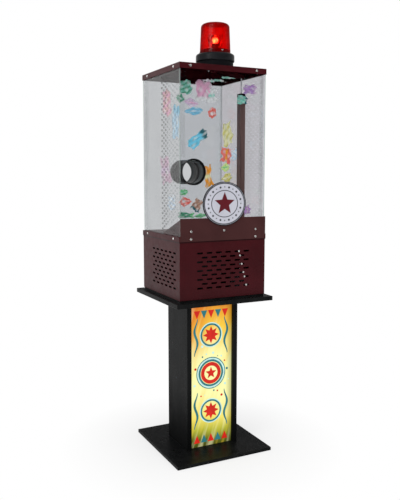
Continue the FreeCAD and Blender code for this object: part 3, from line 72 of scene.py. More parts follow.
# Colours that no setting changes
WHITE = (1.0, 1.0, 1.0)
BLACK = (0.0, 0.0, 0.0)
PORT_BLACK = (0.005, 0.0055, 0.006)
# Paler greys in the bore of the hand port, painted light from its two ends
PORT_NEAR_LIT_RING = (0.060, 0.072, 0.076)
PORT_FAR_LIT_RING = (0.19, 0.195, 0.195)
MOULDING_BLACK = (0.011, 0.0115, 0.013)
RUBBER_BLACK = (0.005, 0.005, 0.006)
HEAD_BAND_BLACK = (0.006, 0.006, 0.007)
LEAD_SHEATH = (0.55, 0.55, 0.56)
LAMP_ENAMEL = (0.72, 0.72, 0.70)
MIRROR_SILVER = (0.92, 0.92, 0.90)
NYLON_WHITE = (0.70, 0.69, 0.65)
MOTOR_GREY = (0.030, 0.033, 0.036)
BLOWER_GREY = (0.09, 0.095, 0.10)
GROUND_STEEL = (0.56, 0.57, 0.58)
HOLE_WALL = (0.89, 0.91, 0.91)
# Painted shade of the rear hole walls in the left sheet
SHADED_HOLE_WALL = (0.12, 0.12, 0.125)


def colour_setting(name, description, default):
    return bpy.props.FloatVectorProperty(
        name=name, description=description, default=default, subtype="COLOR", size=3, min=0.0, max=1.0
    )


def length_setting(name, description, default):
    return bpy.props.FloatProperty(
        name=name, description=description, default=default,
        subtype="DISTANCE", unit="LENGTH", min=0.0, precision=5,
    )


def power_setting(name, description, default):
    return bpy.props.FloatProperty(
        name=name, description=description, default=default, subtype="POWER", unit="POWER", min=0.0
    )


def share_setting(name, description, default):
    return bpy.props.FloatProperty(
        name=name, description=description, default=default, subtype="FACTOR", min=0.0, max=1.0
    )


class MetalSettings(bpy.types.PropertyGroup):
    """Colours of the sheet metal and of the fasteners."""

    maroon: colour_setting("Maroon", "Powder coat on the cabinet's sheets", (0.042, 0.0036, 0.0058))
    # The skirt's lighter, greyer maroon is painted sheen.
    skirt: colour_setting("Skirt", "Duller coat on the front skirt", (0.049, 0.0163, 0.0163))
    # The trunking's light brown is partly the enamel's own colour and partly painted sheen.
    trunking: colour_setting("Trunking", "Brown enamel on the upright channel", (0.120, 0.068, 0.061))
    zinc: colour_setting("Zinc", "Bare zinc-coated sheet inside the base", (0.46, 0.47, 0.48))
    bright: colour_setting("Bright zinc", "Plated screws, bolts and nuts", (0.74, 0.74, 0.72))
    edge: length_setting("Edge round", "Softened edge of a folded sheet", 0.0007)


class BoardSettings(bpy.types.PropertyGroup):
    """Look of the pedestal's boards."""

    black: colour_setting("Black", "Lacquer on the pedestal's boards", (0.0065, 0.0068, 0.0070))
    edge: length_setting("Edge round", "Softened edge of a board", 0.0012)


class PanelSettings(bpy.types.PropertyGroup):
    """Colours and sizes of the lit panel's own print."""

    top: colour_setting("Top glow", "Light at the head of the panel", (0.50, 0.10, 0.012))
    head: colour_setting("Head glow", "Light just under the head", (0.80, 0.36, 0.03))
    upper: colour_setting("Upper glow", "Light above the middle", (0.92, 0.60, 0.06))
    middle: colour_setting("Middle glow", "Palest light, at the middle", (0.91, 0.90, 0.40))
    lower: colour_setting("Lower glow", "Light below the middle", (0.87, 0.74, 0.15))
    olive: colour_setting("Olive glow", "Light just over the foot", (0.45, 0.45, 0.04))
    foot: colour_setting("Foot glow", "Dim light at the foot of the panel", (0.11, 0.125, 0.012))
    streak: colour_setting("Pale streaks", "Palest streaks in the light", (1.0, 0.97, 0.55))
    flame: colour_setting("Flame", "Deep orange at the upper left", (0.66, 0.09, 0.010))
    red: colour_setting("Red print", "Red of the badge and the pennants", (0.62, 0.022, 0.012))
    teal: colour_setting("Teal print", "Teal of the streamers", (0.030, 0.18, 0.20))
    pale: colour_setting("Pale print", "Pale blue of the rings and confetti", (0.55, 0.80, 0.74))
    ink: length_setting("Ink", "Thickness of a printed shape", 0.0002)
    badge: length_setting("Badge radius", "Radius of the red ring in the middle", 0.050)
    burst: length_setting("Burst radius", "Radius of the red burst above and below the badge", 0.040)
    streamer: length_setting("Streamer width", "Width of a wavy streamer", 0.012)


class ChamberSettings(bpy.types.PropertyGroup):
    """Look of the clear chamber."""

    front: colour_setting("Front tint", "Share let through by a front panel surface", (0.888, 0.897, 0.912))
    left: colour_setting("Left tint", "Share let through by a left panel surface", (0.885, 0.890, 0.895))
    right: colour_setting("Right tint", "Share let through by a right panel surface", (0.790, 0.775, 0.785))
    rear: colour_setting("Rear tint", "Share let through by a rear panel surface", (0.765, 0.772, 0.780))
    corner: colour_setting("Corner tint", "Share let through by a corner angle surface", (0.945, 0.95, 0.95))
    rim: colour_setting("Cut edge", "Greenish light in a cut edge", (0.50, 0.60, 0.56))
    gloss: share_setting("Gloss", "Mirror share of a panel seen straight on", 0.018)


class SignSettings(bpy.types.PropertyGroup):
    """Colours and sizes of the round sign."""

    face: colour_setting("Face", "Enamel of the sign", (0.53, 0.535, 0.60))
    star: colour_setting("Star", "Maroon of the star", (0.11, 0.007, 0.013))
    ring: colour_setting("Ring", "Dark print of the ring and the dots", (0.025, 0.028, 0.036))
    ink: length_setting("Ink", "Thickness of a printed shape", 0.0002)


class SlipSettings(bpy.types.PropertyGroup):
    """Shape of the paper slips."""

    thickness: length_setting("Paper", "Thickness of a slip", 0.0002)
    curl: length_setting("Curl", "How far a slip curls off its wall", 0.016)


class BeaconSettings(bpy.types.PropertyGroup):
    """Colours and sizes of the beacon."""

    lens: colour_setting("Lens", "What one surface of the lens lets through", (0.93, 0.19, 0.14))
    glow: colour_setting("Bulb", "Light of the bulb", (1.0, 0.72, 0.34))
    bulb_cap: length_setting("Bulb cap", "Height of the bulb's metal cap", 0.012)
    wall: length_setting("Lens wall", "Thickness of the lens", 0.0025)
    top_radius: length_setting("Top radius", "Lens radius under its shoulder", 0.0595)
    shoulder_rise: length_setting("Shoulder rise", "Height of the rounded shoulder", 0.015)
    shoulder_reach: length_setting("Shoulder reach", "Width of the rounded shoulder", 0.016)
    flute: length_setting("Flute depth", "Depth of the upright flutes inside the lens", 0.0009)


class StageSettings(bpy.types.PropertyGroup):
    """Camera and light of the studio."""

    camera: bpy.props.FloatVectorProperty(
        name="Camera place", description="Where the camera stands", default=(-1.2955, -2.5711, 1.2308),
        subtype="TRANSLATION", unit="LENGTH", size=3,
    )
    aim: bpy.props.FloatVectorProperty(
        name="Camera aim", description="The direction that the camera looks in",
        default=(0.4435, 0.8884, -0.1185), subtype="DIRECTION", size=3,
    )
    lens_mm: bpy.props.FloatProperty(
        name="Lens", description="Focal length on a 36 mm frame", default=46.29, unit="CAMERA", min=1.0
    )
    lift: bpy.props.FloatProperty(
        name="Lift", description="Upward shift of the picture frame", default=0.0044
    )
    ambient: share_setting("Ambient", "Light from all round", 0.52)
    key: power_setting("Key power", "Soft light from the upper left", 56.0)
    fill: power_setting("Fill power", "Soft light from the right", 24.0)
    front: power_setting("Front power", "Soft light from beside the camera", 20.0)


# Shades and places

def shade(colour, factor):
    """A darker or lighter shade of a colour."""
    return tuple(min(1.0, channel * factor) for channel in colour)


def node_box(name):
    """The low corner, the high corner and the middle of a CAD node."""
    low, high = (Vector(corner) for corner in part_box(name))
    return low, high, (low + high) / 2


def panel_window():
    """The lit panel's middle, and half the width and height of it that show."""
    low, high, middle = node_box("graphic_panel")
    half_x = -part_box("column_left")[1][0]
    return middle, half_x, (high.z - low.z) / 2


# Node materials

class Nodes:
    """Short ways to fill a material's or a world's tree."""

    def __init__(self, tree):
        tree.nodes.clear()
        self.nodes = tree.nodes
        self.links = tree.links

    def add(self, kind, inputs=None, **settings):
        """Adds a node. Its inputs are values, or sockets of other nodes, by name or number."""
        node = self.nodes.new(kind)
        for name, value in settings.items():
            setattr(node, name, value)
        for key, value in (inputs or {}).items():
            socket = node.inputs[key]
            if isinstance(value, bpy.types.NodeSocket):
                self.links.new(value, socket)
            elif socket.type == "RGBA":
                socket.default_value = (*value[:3], 1.0)
            else:
                socket.default_value = value
        return node

    def math(self, operation, *values):
        return self.add("ShaderNodeMath", dict(enumerate(values)), operation=operation).outputs[0]

    def remap(self, value, low, high, to_low, to_high):
        sockets = {0: value, 1: low, 2: high, 3: to_low, 4: to_high}
        return self.add("ShaderNodeMapRange", sockets).outputs[0]

    def seen_rays(self):
        """1 for the rays that see the background: straight, mirrored or through glass."""
        path = self.add("ShaderNodeLightPath").outputs
        bounced = self.math("MAXIMUM", path["Is Glossy Ray"], path["Is Transmission Ray"])
        return self.math("MAXIMUM", path["Is Camera Ray"], bounced)


class Finish(Nodes):
    """A new material, with the patterns and shaders that finishes are made of."""

    def __init__(self, name):
        self.material = bpy.data.materials.new(name)
        self.material.use_nodes = True
        super().__init__(self.material.node_tree)
        self.output = self.nodes.new("ShaderNodeOutputMaterial")

    def place(self, stretch=(1.0, 1.0, 1.0), middle=(0.0, 0.0, 0.0)):
        """The piece's own coordinates in metres, taken from a middle point and stretched."""
        own = self.add("ShaderNodeTexCoord").outputs["Object"]
        shifted = self.add("ShaderNodeVectorMath", {0: own, 1: tuple(middle)}, operation="SUBTRACT")
        return self.add("ShaderNodeMapping", {"Vector": shifted.outputs[0], "Scale": stretch}).outputs[0]

    def axes(self, middle=(0.0, 0.0, 0.0)):
        return self.add("ShaderNodeSeparateXYZ", {0: self.place(middle=middle)}).outputs

    def height_over(self, level):
        return self.axes((0.0, 0.0, level))["Z"]

    def dot(self, first, second):
        product = self.add("ShaderNodeVectorMath", {0: first, 1: second}, operation="DOT_PRODUCT")
        return product.outputs["Value"]

    def true_normal(self):
        return self.add("ShaderNodeNewGeometry").outputs["True Normal"]

    def noise(self, scale, detail=3.0, stretch=(1.0, 1.0, 1.0)):
        where = self.place(stretch)
        return self.add("ShaderNodeTexNoise", {"Vector": where, "Scale": scale, "Detail": detail}).outputs[0]

    def cells(self, scale, stretch=(1.0, 1.0, 1.0)):
        """A grey of its own for each crystal or facet."""
        crystals = self.add("ShaderNodeTexVoronoi", {"Vector": self.place(stretch), "Scale": scale})
        return self.add("ShaderNodeRGBToBW", {0: crystals.outputs["Color"]}).outputs[0]

    def uneven(self, pattern, low, high):
        """A value that wanders from low to high with a pattern."""
        return self.remap(pattern, *NOISE_SPAN, low, high)

    def tint(self, share, first, second, blend_type="MIX"):
        """A mix of two colours."""
        sockets = {0: share, 6: first, 7: second}
        return self.add("ShaderNodeMix", sockets, data_type="RGBA", blend_type=blend_type).outputs[2]

    def bands(self, value, stops):
        """A colour ramp from (place, colour) stops."""
        ramp = self.add("ShaderNodeValToRGB", {0: value})
        elements = ramp.color_ramp.elements
        while len(elements) < len(stops):
            elements.new(1.0)
        for element, (place, colour) in zip(elements, stops):
            element.position = place
            element.color = (*colour[:3], 1.0)
        return ramp.outputs[0]

    def mottle(self, pattern, colour, darker, lighter):
        """A colour that goes from a darker to a lighter shade with a pattern."""
        low, high = NOISE_SPAN
        return self.bands(pattern, ((low, shade(colour, darker)), (high, shade(colour, lighter))))

    def round_edges(self, radius):
        return self.add("ShaderNodeBevel", {"Radius": radius}, samples=4).outputs[0]

    def worn_edges(self, radius):
        """1 along sharp edges and 0 on flat faces."""
        flat = self.add("ShaderNodeNewGeometry").outputs["Normal"]
        likeness = self.dot(self.round_edges(radius), flat)
        return self.remap(likeness, 0.72, 0.99, 1.0, 0.0)

    def rub(self, coat, bare, radius, patch_scale, share):
        """Wears a coat towards a bare colour, in patches along its edges."""
        patches = self.math("MULTIPLY", self.worn_edges(radius), self.noise(patch_scale, 4.0))
        return self.tint(self.math("MULTIPLY", patches, share), coat, bare)

    def bump(self, height, distance, strength=1.0, normal=None):
        sockets = {"Height": height, "Distance": distance, "Strength": strength}
        if normal is not None:
            sockets["Normal"] = normal
        return self.add("ShaderNodeBump", sockets).outputs[0]

    def facing(self):
        """0 where a surface faces the viewer and 1 at its rim, for gloss and glass."""
        return self.add("ShaderNodeLayerWeight", {"Blend": 0.5}).outputs["Facing"]

    def mirror_share(self, straight, grazing=0.85):
        """The share of light that a clear surface mirrors, seen straight on and along its face."""
        rim = self.math("POWER", self.facing(), 5.0)
        return self.remap(rim, 0.0, 1.0, straight, grazing)

    def mirror(self, roughness):
        return self.add("ShaderNodeBsdfGlossy", {"Color": WHITE, "Roughness": roughness}).outputs[0]

    def see_through(self, colour):
        return self.add("ShaderNodeBsdfTransparent", {"Color": colour}).outputs[0]

    def principled(self, inputs):
        return self.add("ShaderNodeBsdfPrincipled", inputs).outputs[0]

    def mix(self, share, first, second):
        return self.add("ShaderNodeMixShader", {0: share, 1: first, 2: second}).outputs[0]

    def show(self, shader):
        self.links.new(shader, self.output.inputs["Surface"])
        return self.material

    def paint(self, inputs):
        """Shows a single opaque shader."""
        return self.show(self.principled(inputs))


def powder_coat(name, colour, edge):
    """Powder coat: a fine orange-peel skin, faint clouds and rubbed edges, with a painted shadow line under
    the deck flange and a dull coat on downward faces, darkened there as painted shade.
    """
    finish = Finish(name)
    clouds = finish.noise(7.0, 4.0)
    coat = finish.bands(clouds, ((0.32, shade(colour, 0.84)), (0.68, shade(colour, 1.18))))
    coat = finish.rub(coat, shade(colour, 4.0), radius=0.0011, patch_scale=55.0, share=0.30)
    # Painted shadow: the coat darkens within a few millimetres of the deck flange's lower edge.
    from_flange = finish.math("ABSOLUTE", finish.height_over(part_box("deck_pan")[0][2]))
    flange_seam_shade = finish.remap(from_flange, 0.001, 0.0035, 0.75, 0.0)
    coat = finish.tint(flange_seam_shade, coat, (0.004, 0.0008, 0.001))
    skin = finish.bump(finish.noise(1400.0, 2.0), 0.00008, 0.35, finish.round_edges(edge))
    outside = finish.principled({
        "Base Color": coat, "Roughness": finish.uneven(finish.noise(40.0), 0.34, 0.44),
        "Specular IOR Level": 0.14, "Normal": skin,
    })
    # Downward faces get a dull coat at 0.45 of the colour; the darker colour is painted shade.
    shaded_underside = finish.principled({
        "Base Color": shade(colour, 0.45), "Roughness": 0.8, "Specular IOR Level": 0.0, "Normal": skin,
    })
    underneath = finish.math("LESS_THAN", finish.dot(finish.true_normal(), ALONG_Z), -0.5)
    return finish.show(finish.mix(underneath, outside, shaded_underside))


def board_lacquer(board):
    """Black satin lacquer on board, with faint fibres and rubbed edges; towards the column's foot it is
    rougher and darker, the darker colour being painted shade.
    """
    finish = Finish("black_board_lacquer")
    fibres = finish.noise(38.0, 5.0, (1.0, 1.0, 0.12))
    coat = finish.mottle(fibres, board.black, 0.8, 1.5)
    coat = finish.rub(coat, shade(board.black, 6.0), radius=0.0016, patch_scale=70.0, share=0.35)
    over_plate = finish.height_over(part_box("base_plate")[1][2] + 0.0002)
    on_column = finish.math("GREATER_THAN", over_plate, 0.0)
    # Towards the column's foot the lacquer gets rougher and its colour darker; the darker colour is painted
    # shade.
    dull = finish.math("MULTIPLY", finish.remap(over_plate, 0.08, 0.30, 1.0, 0.0), on_column)
    rough = finish.uneven(finish.noise(16.0, 4.0), 0.24, 0.36)
    return finish.paint({
        "Base Color": finish.tint(dull, coat, shade(board.black, 0.6)),
        "Roughness": finish.math("MULTIPLY_ADD", dull, 0.36, rough), "Specular IOR Level": 0.045,
        "Normal": finish.bump(fibres, 0.0001, 0.25, finish.round_edges(board.edge)),
    })


def zinc_sheet(metal):
    """Zinc-coated sheet with its crystal spangle."""
    finish = Finish("zinc_spangle_sheet")
    spangle = finish.cells(110.0)
    tone = finish.bands(spangle, ((0.1, shade(metal.zinc, 0.78)), (0.9, shade(metal.zinc, 1.12))))
    rough = finish.remap(spangle, 0.0, 1.0, 0.30, 0.50)
    skin = finish.bump(finish.noise(500.0), 0.00005, 0.3, finish.round_edges(metal.edge))
    return finish.paint({"Base Color": tone, "Metallic": 1.0, "Roughness": rough, "Normal": skin})


def plated_metal(name, colour, roughness, metallic=1.0):
    """Plated or turned metal with fine scratches."""
    finish = Finish(name)
    scratches = finish.noise(900.0, 3.0, (1.0, 1.0, 0.2))
    tone = finish.mottle(scratches, colour, 0.82, 1.06)
    rough = finish.uneven(scratches, roughness * 0.8, roughness * 1.3)
    skin = finish.bump(scratches, 0.00003, 0.3, finish.round_edges(0.0003))
    return finish.paint({"Base Color": tone, "Metallic": metallic, "Roughness": rough, "Normal": skin})


def moulded_plastic(name, colour, roughness, grain=0.00006, specular=0.3):
    """Moulded plastic or rubber with a fine spark-eroded grain."""
    finish = Finish(name)
    tone = finish.mottle(finish.noise(30.0, 4.0), colour, 0.85, 1.2)
    rubbed = finish.math("MULTIPLY", finish.worn_edges(0.0009), 0.2)
    tone = finish.tint(rubbed, tone, shade(colour, 3.0))
    rough = finish.uneven(finish.noise(90.0), roughness * 0.85, roughness * 1.15)
    skin = finish.bump(finish.noise(1800.0, 2.0), grain, 0.4, finish.round_edges(0.0005))
    return finish.paint({
        "Base Color": tone, "Roughness": rough, "Specular IOR Level": specular, "Normal": skin,
    })


def ringed_port():
    """Glossy black hand port, with two paler rings in its bore as painted light from both of its ends."""
    finish = Finish("gloss_black_port")
    low, high, middle = node_box("port_sleeve")
    half = (high.y - low.y) / 2
    x, y, z = finish.axes(middle)
    outward = finish.add("ShaderNodeCombineXYZ", {0: x, 2: z}).outputs[0]
    in_bore = finish.math("LESS_THAN", finish.dot(finish.true_normal(), outward), 0.0)
    # Painted light: paler rings along the bore, for the light that comes in at both ends.
    rings = finish.bands(finish.remap(y, -half, half, 0.0, 1.0), (
        (0.10, PORT_BLACK), (0.16, PORT_NEAR_LIT_RING), (0.34, PORT_NEAR_LIT_RING), (0.38, PORT_BLACK),
        (0.52, PORT_BLACK), (0.58, PORT_FAR_LIT_RING), (0.90, PORT_NEAR_LIT_RING),
    ))
    return finish.paint({
        "Base Color": finish.tint(in_bore, PORT_BLACK, rings),
        "Roughness": finish.uneven(finish.noise(90.0), 0.17, 0.23), "Specular IOR Level": 0.08,
        "Normal": finish.round_edges(0.0005),
    })


def enamel(name, colour, roughness):
    """Sprayed enamel with a soft orange-peel skin."""
    finish = Finish(name)
    tone = finish.mottle(finish.noise(12.0, 4.0), colour, 0.93, 1.05)
    rough = finish.uneven(finish.noise(60.0), roughness * 0.85, roughness * 1.2)
    skin = finish.bump(finish.noise(700.0, 2.0), 0.00006, 0.25, finish.round_edges(0.0006))
    return finish.paint({
        "Base Color": tone, "Roughness": rough, "Specular IOR Level": 0.3, "Normal": skin,
    })


def trunking_enamel(metal):
    """Brown enamel on the upright channel, streaked along its length and black at its head. Its light brown
    is partly the enamel's own colour and partly painted sheen.
    """
    finish = Finish("brown_trunking_enamel")
    streaks = finish.noise(60.0, 4.0, (1.0, 1.0, 0.1))
    tone = finish.mottle(streaks, metal.trunking, 0.75, 1.25)
    # The top 20 to 24 mm of the channel is painted black.
    cap = finish.remap(finish.height_over(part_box("wire_trunking")[1][2]), -0.024, -0.020, 0.0, 0.95)
    skin = finish.bump(streaks, 0.00006, 0.25, finish.round_edges(0.0006))
    return finish.paint({
        "Base Color": finish.tint(cap, tone, HEAD_BAND_BLACK), "Roughness": finish.uneven(streaks, 0.34, 0.48),
        "Specular IOR Level": 0.3, "Normal": skin,
    })


def open_foam():
    """Dark foam strip with open cells."""
    finish = Finish("foam_strip")
    cells = finish.add("ShaderNodeTexVoronoi", {"Vector": finish.place(), "Scale": 900.0})
    depth = cells.outputs["Distance"]
    tone = finish.bands(depth, ((0.1, (0.004, 0.004, 0.004)), (0.6, (0.03, 0.03, 0.03))))
    skin = finish.bump(depth, 0.0003, 0.6)
    return finish.paint({"Base Color": tone, "Roughness": 0.9, "Normal": skin})


def lit_tube():
    """Fluorescent tube, dimmer towards its ends."""
    finish = Finish("lamp_phosphor")
    low, high, middle = node_box("lamp_tube")
    half = (high.z - low.z) / 2
    along = finish.math("ABSOLUTE", finish.axes(middle)["Z"])
    power = finish.remap(along, half * 0.86, half, 2.2, 0.2)
    share = finish.math("DIVIDE", along, half)
    tone = finish.bands(share, ((0.85, (1.0, 0.96, 0.86)), (1.0, (0.6, 0.5, 0.4))))
    return finish.paint({
        "Base Color": tone, "Roughness": 0.2, "Emission Color": tone, "Emission Strength": power,
    })


def clear_sheet(name, gloss, tint, across=None, edge_light=WHITE, edge_body=0.0, shaded_rear_holes=False):
    """Clear acrylic that mirrors a little and carries light in its cut edges.

    A sheet may have its hole walls darker towards its rear, as painted shade.
    """
    finish = Finish(name)
    body = finish.mottle(finish.noise(5.0, 5.0), tint, 0.985, 1.012)
    body = finish.tint(finish.seen_rays(), (0.97, 0.97, 0.97), body)
    scuffs = finish.remap(finish.noise(26.0, 6.0), 0.4, 0.75, 0.02, 0.09)
    pane = finish.mix(finish.mirror_share(gloss), finish.see_through(body), finish.mirror(scuffs))
    if across is None:
        return finish.show(pane)
    turned = finish.math("ABSOLUTE", finish.dot(finish.true_normal(), across))
    cut = finish.math("LESS_THAN", turned, 0.5)
    light = finish.mottle(finish.noise(420.0, 2.0), edge_light, 0.8, 1.15)
    if shaded_rear_holes:
        # Painted shade: the hole walls darken towards the rear of the sheet.
        y = finish.axes()["Y"]
        before_rear_edge = finish.math("LESS_THAN", y, 0.0)
        hole_shade = finish.math("MULTIPLY", finish.remap(y, -0.080, -0.050, 0.0, 0.34), before_rear_edge)
        light = finish.tint(hole_shade, light, SHADED_HOLE_WALL)
    solid = finish.principled({"Base Color": light, "Roughness": 0.35})
    rim = finish.mix(edge_body, finish.see_through(light), solid)
    return finish.show(finish.mix(cut, pane, rim))


def lit_sheet(panel):
    """Back-lit panel: a warm ramp from head to foot, soft rays up to its head, and a dimmer right side."""
    finish = Finish("lit_panel_sheet")
    middle, half_x, half_z = panel_window()
    axes = finish.axes(middle)
    x, z = axes["X"], axes["Z"]
    slanted = finish.math("MULTIPLY_ADD", z, -0.3, x)
    squashed = finish.math("MULTIPLY", z, 0.14)
    lean = finish.add("ShaderNodeCombineXYZ", {0: slanted, 2: squashed}).outputs[0]
    streak = finish.add("ShaderNodeTexNoise", {"Vector": lean, "Scale": 26.0, "Detail": 4.0}).outputs[0]
    drift = finish.remap(finish.noise(6.0, 3.0, (1.0, 1.0, 0.35)), 0.25, 0.75, -0.03, 0.03)
    height = finish.math("ADD", finish.remap(z, -half_z, half_z, 0.0, 1.0), drift)
    glow = finish.bands(height, (
        (0.0, shade(panel.foot, 0.5)), (0.05, panel.foot), (0.12, panel.olive), (0.20, panel.lower),
        (0.34, panel.middle), (0.60, panel.middle), (0.80, panel.upper), (0.91, panel.head),
        (0.98, panel.top),
    ))
    glow = finish.tint(finish.remap(streak, 0.54, 0.68, 0.0, 0.35), glow, panel.upper)
    glow = finish.tint(finish.remap(streak, 0.36, 0.48, 0.35, 0.0), glow, panel.streak)

    angle = finish.math("ARCTAN2", x, z)
    rays = finish.math("SINE", finish.math("MULTIPLY", angle, 22.0))
    reach = finish.remap(z, half_z * 0.3, half_z, 0.0, 0.45)
    ray_share = finish.math("MULTIPLY", finish.remap(rays, -0.2, 0.9, 0.0, 1.0), reach)
    glow = finish.tint(ray_share, glow, panel.head)

    leftward = finish.remap(x, -half_x, half_x * 0.1, 1.0, 0.0)
    left_head = finish.math("MULTIPLY", leftward, finish.remap(height, 0.55, 0.92, 0.0, 1.0))
    flame = finish.math("MULTIPLY", finish.remap(streak, 0.38, 0.58, 0.45, 1.0), left_head)
    glow = finish.tint(flame, glow, panel.flame)
    return finish.paint({
        "Base Color": finish.tint(0.9, glow, BLACK), "Specular IOR Level": 0.15,
        "Roughness": finish.uneven(finish.noise(35.0), 0.22, 0.34), "Emission Color": glow,
        "Emission Strength": finish.remap(x, half_x * 0.72, half_x, 1.0, 0.5),
    })


def lit_ink(name, colour):
    """See-through ink on the lit panel, a little uneven."""
    finish = Finish(name)
    patchy = finish.noise(45.0, 4.0, (1.0, 1.0, 0.5))
    tone = finish.bands(patchy, ((0.25, shade(colour, 0.78)), (0.75, shade(colour, 1.18))))
    return finish.paint({
        "Base Color": shade(colour, 0.1), "Roughness": 0.3, "Specular IOR Level": 0.15,
        "Emission Color": tone, "Emission Strength": 1.0,
    })


def slip_paper():
    """Thin paper that lets some light through and glows faintly in its own colour as painted light. Its
    colour is painted on the slip's corners.
    """
    finish = Finish("slip_paper")
    ink = finish.add("ShaderNodeVertexColor", layer_name="paper").outputs["Color"]
    grain = finish.mottle(finish.noise(260.0, 5.0), WHITE, 0.92, 1.0)
    tone = finish.tint(1.0, ink, grain, "MULTIPLY")
    front = finish.principled({
        "Base Color": tone, "Roughness": 0.8, "Specular IOR Level": 0.2,
        "Normal": finish.bump(finish.noise(140.0, 4.0), 0.0003, 0.4),
        # Painted light: the paper glows faintly in its own colour.
        "Emission Color": tone, "Emission Strength": 0.22,
    })
    through = finish.add("ShaderNodeBsdfTranslucent", {"Color": tone}).outputs[0]
    return finish.show(finish.mix(0.45, front, through))


def red_lens(beacon):
    """Red clear plastic with prism facets: darker at its rim and its seat, with a warm red glow around the
    bulb's height as painted light.
    """
    finish = Finish("red_beacon_lens")
    facet = finish.cells(115.0, (1.0, 1.0, 0.7))
    body = finish.tint(finish.uneven(facet, 0.0, 0.55), beacon.lens, (0.70, 0.04, 0.04))
    rim = finish.math("POWER", finish.facing(), 1.8)
    body = finish.tint(rim, body, (0.22, 0.008, 0.012))
    over_seat = finish.height_over(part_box("beacon_dome")[0][2])
    body = finish.tint(finish.remap(over_seat, 0.008, 0.018, 0.8, 0.0), body, (0.12, 0.008, 0.010))
    # Painted light: the lens glows brightest level with the bulb and dimmer above and below.
    bulb_height = node_box("beacon_bulb")[2].z
    from_bulb = finish.math("ABSOLUTE", finish.height_over(bulb_height))
    power = finish.math("MULTIPLY", finish.remap(from_bulb, 0.0, 0.055, 2.2, 0.6), facet)
    clouds = finish.bands(finish.noise(60.0), ((0.3, (0.40, 0.003, 0.004)), (0.7, (0.52, 0.005, 0.005))))
    milk_and_bulb_glow = finish.principled({
        "Base Color": clouds, "Roughness": 0.3, "Specular IOR Level": 0.0,
        "Emission Color": (1.0, 0.012, 0.006), "Emission Strength": power,
    })
    shell = finish.mix(0.08, finish.see_through(body), milk_and_bulb_glow)
    outer = finish.math("SUBTRACT", 1.0, finish.add("ShaderNodeNewGeometry").outputs["Backfacing"])
    share = finish.math("MULTIPLY", finish.mirror_share(0.004, 0.06), outer)
    wear = finish.uneven(finish.noise(80.0, 4.0), 0.05, 0.12)
    return finish.show(finish.mix(share, shell, finish.mirror(wear)))


def bulb_glow(beacon):
    """A lit bulb: brightest at the filament, with a dull metal cap below."""
    finish = Finish("lit_bulb")
    low, high, middle = node_box("beacon_bulb")
    radius = (high.x - low.x) / 2
    up = finish.axes(middle)["Z"]
    glass = finish.math("GREATER_THAN", up, low.z + beacon.bulb_cap - middle.z)
    from_filament = finish.math("ABSOLUTE", finish.math("SUBTRACT", up, radius * 0.3))
    power = finish.remap(from_filament, 0.0, radius, 40.0, 10.0)
    return finish.paint({
        "Base Color": finish.tint(glass, (0.5, 0.45, 0.35), beacon.glow), "Roughness": 0.25,
        "Emission Color": beacon.glow, "Emission Strength": finish.math("MULTIPLY", power, glass),
    })


# Meshes

def dress(material, slot):
    """Gives a finish to every CAD node of a material slot."""
    for part in frame["record"]["subparts"]:
        if part["material_slot"] == slot:
            cover(material, part["node"])


def cover(material, *names):
    """Gives a finish to CAD nodes by name."""
    for name in names:
        slots = frame["nodes"][name].data.materials
        slots.clear()
        slots.append(material)


def link_shape(name, shape, material):
    """Puts a shaped mesh in the scene, at the origin."""
    mesh = bpy.data.meshes.new(name)
    shape.to_mesh(mesh)
    shape.free()
    mesh.materials.append(material)
    item = bpy.data.objects.new(name, mesh)
    bpy.context.scene.collection.objects.link(item)
    return item


def new_piece(name, shape, material):
    """Makes a shaped mesh a piece that rides on the cabinet."""
    piece = link_shape(name, shape, material)
    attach(piece, CABINET)
    return piece


class Print:
    """Flat printed shapes of one colour on a face that looks along -Y."""

    def __init__(self, middle, face_y, ink):
        self.shape = bmesh.new()
        self.middle = middle
        self.face_y = face_y
        self.ink = ink

    def stand(self, x, z, turn=0.0, scale=(1.0, 1.0)):
        """Stands a shape made in the XY plane upright on the face."""
        at = Matrix.Translation((self.middle.x + x, self.face_y, self.middle.z + z))
        return at @ UPRIGHT @ Matrix.Rotation(turn, 4, "Z") @ Matrix.Diagonal((*scale, 1.0, 1.0))

    def disc(self, x, z, radius, sides=56, turn=0.0, scale=(1.0, 1.0)):
        stand = self.stand(x, z, turn, scale)
        bmesh.ops.create_circle(self.shape, cap_ends=True, segments=sides, radius=radius, matrix=stand)

    def ring(self, x, z, inner, outer, scale=(1.0, 1.0)):
        edges = []
        stand = self.stand(x, z, 0.0, scale)
        for radius in (inner, outer):
            made = bmesh.ops.create_circle(self.shape, segments=72, radius=radius, matrix=stand)
            edges += {edge for vert in made["verts"] for edge in vert.link_edges}
        bmesh.ops.bridge_loops(self.shape, edges=edges)

    def star(self, x, z, outer, inner, points, turn=0.0):
        stand = self.stand(x, z, turn)
        made = bmesh.ops.create_circle(
            self.shape, cap_ends=True, segments=2 * points, radius=outer, matrix=stand
        )
        centre = stand.translation
        for vert in made["verts"][1::2]:
            vert.co = centre + (vert.co - centre) * (inner / outer)

    def streamer(self, x, z, length, width, sway, waves):
        """An upright ribbon that sways from side to side and narrows at its ends."""
        made = bmesh.ops.create_grid(
            self.shape, x_segments=1, y_segments=72, size=0.5,
            matrix=Matrix.Diagonal((width, length, 1.0, 1.0)),
        )
        for vert in made["verts"]:
            along = vert.co.y / length
            vert.co.x *= 0.25 + 0.75 * math.cos(math.pi * along)
            vert.co.x += sway * math.sin(TURN * waves * along)
        bmesh.ops.transform(self.shape, matrix=self.stand(x, z), verts=made["verts"])

    def finish(self, name, material, slot):
        faces = self.shape.faces[:]
        raised = bmesh.ops.extrude_face_region(self.shape, geom=faces, use_keep_orig=True)
        moved = [item for item in raised["geom"] if isinstance(item, bmesh.types.BMVert)]
        bmesh.ops.translate(self.shape, verts=moved, vec=(0.0, -self.ink, 0.0))
        bmesh.ops.recalc_face_normals(self.shape, faces=self.shape.faces[:])
        return new_piece(name, self.shape, material)


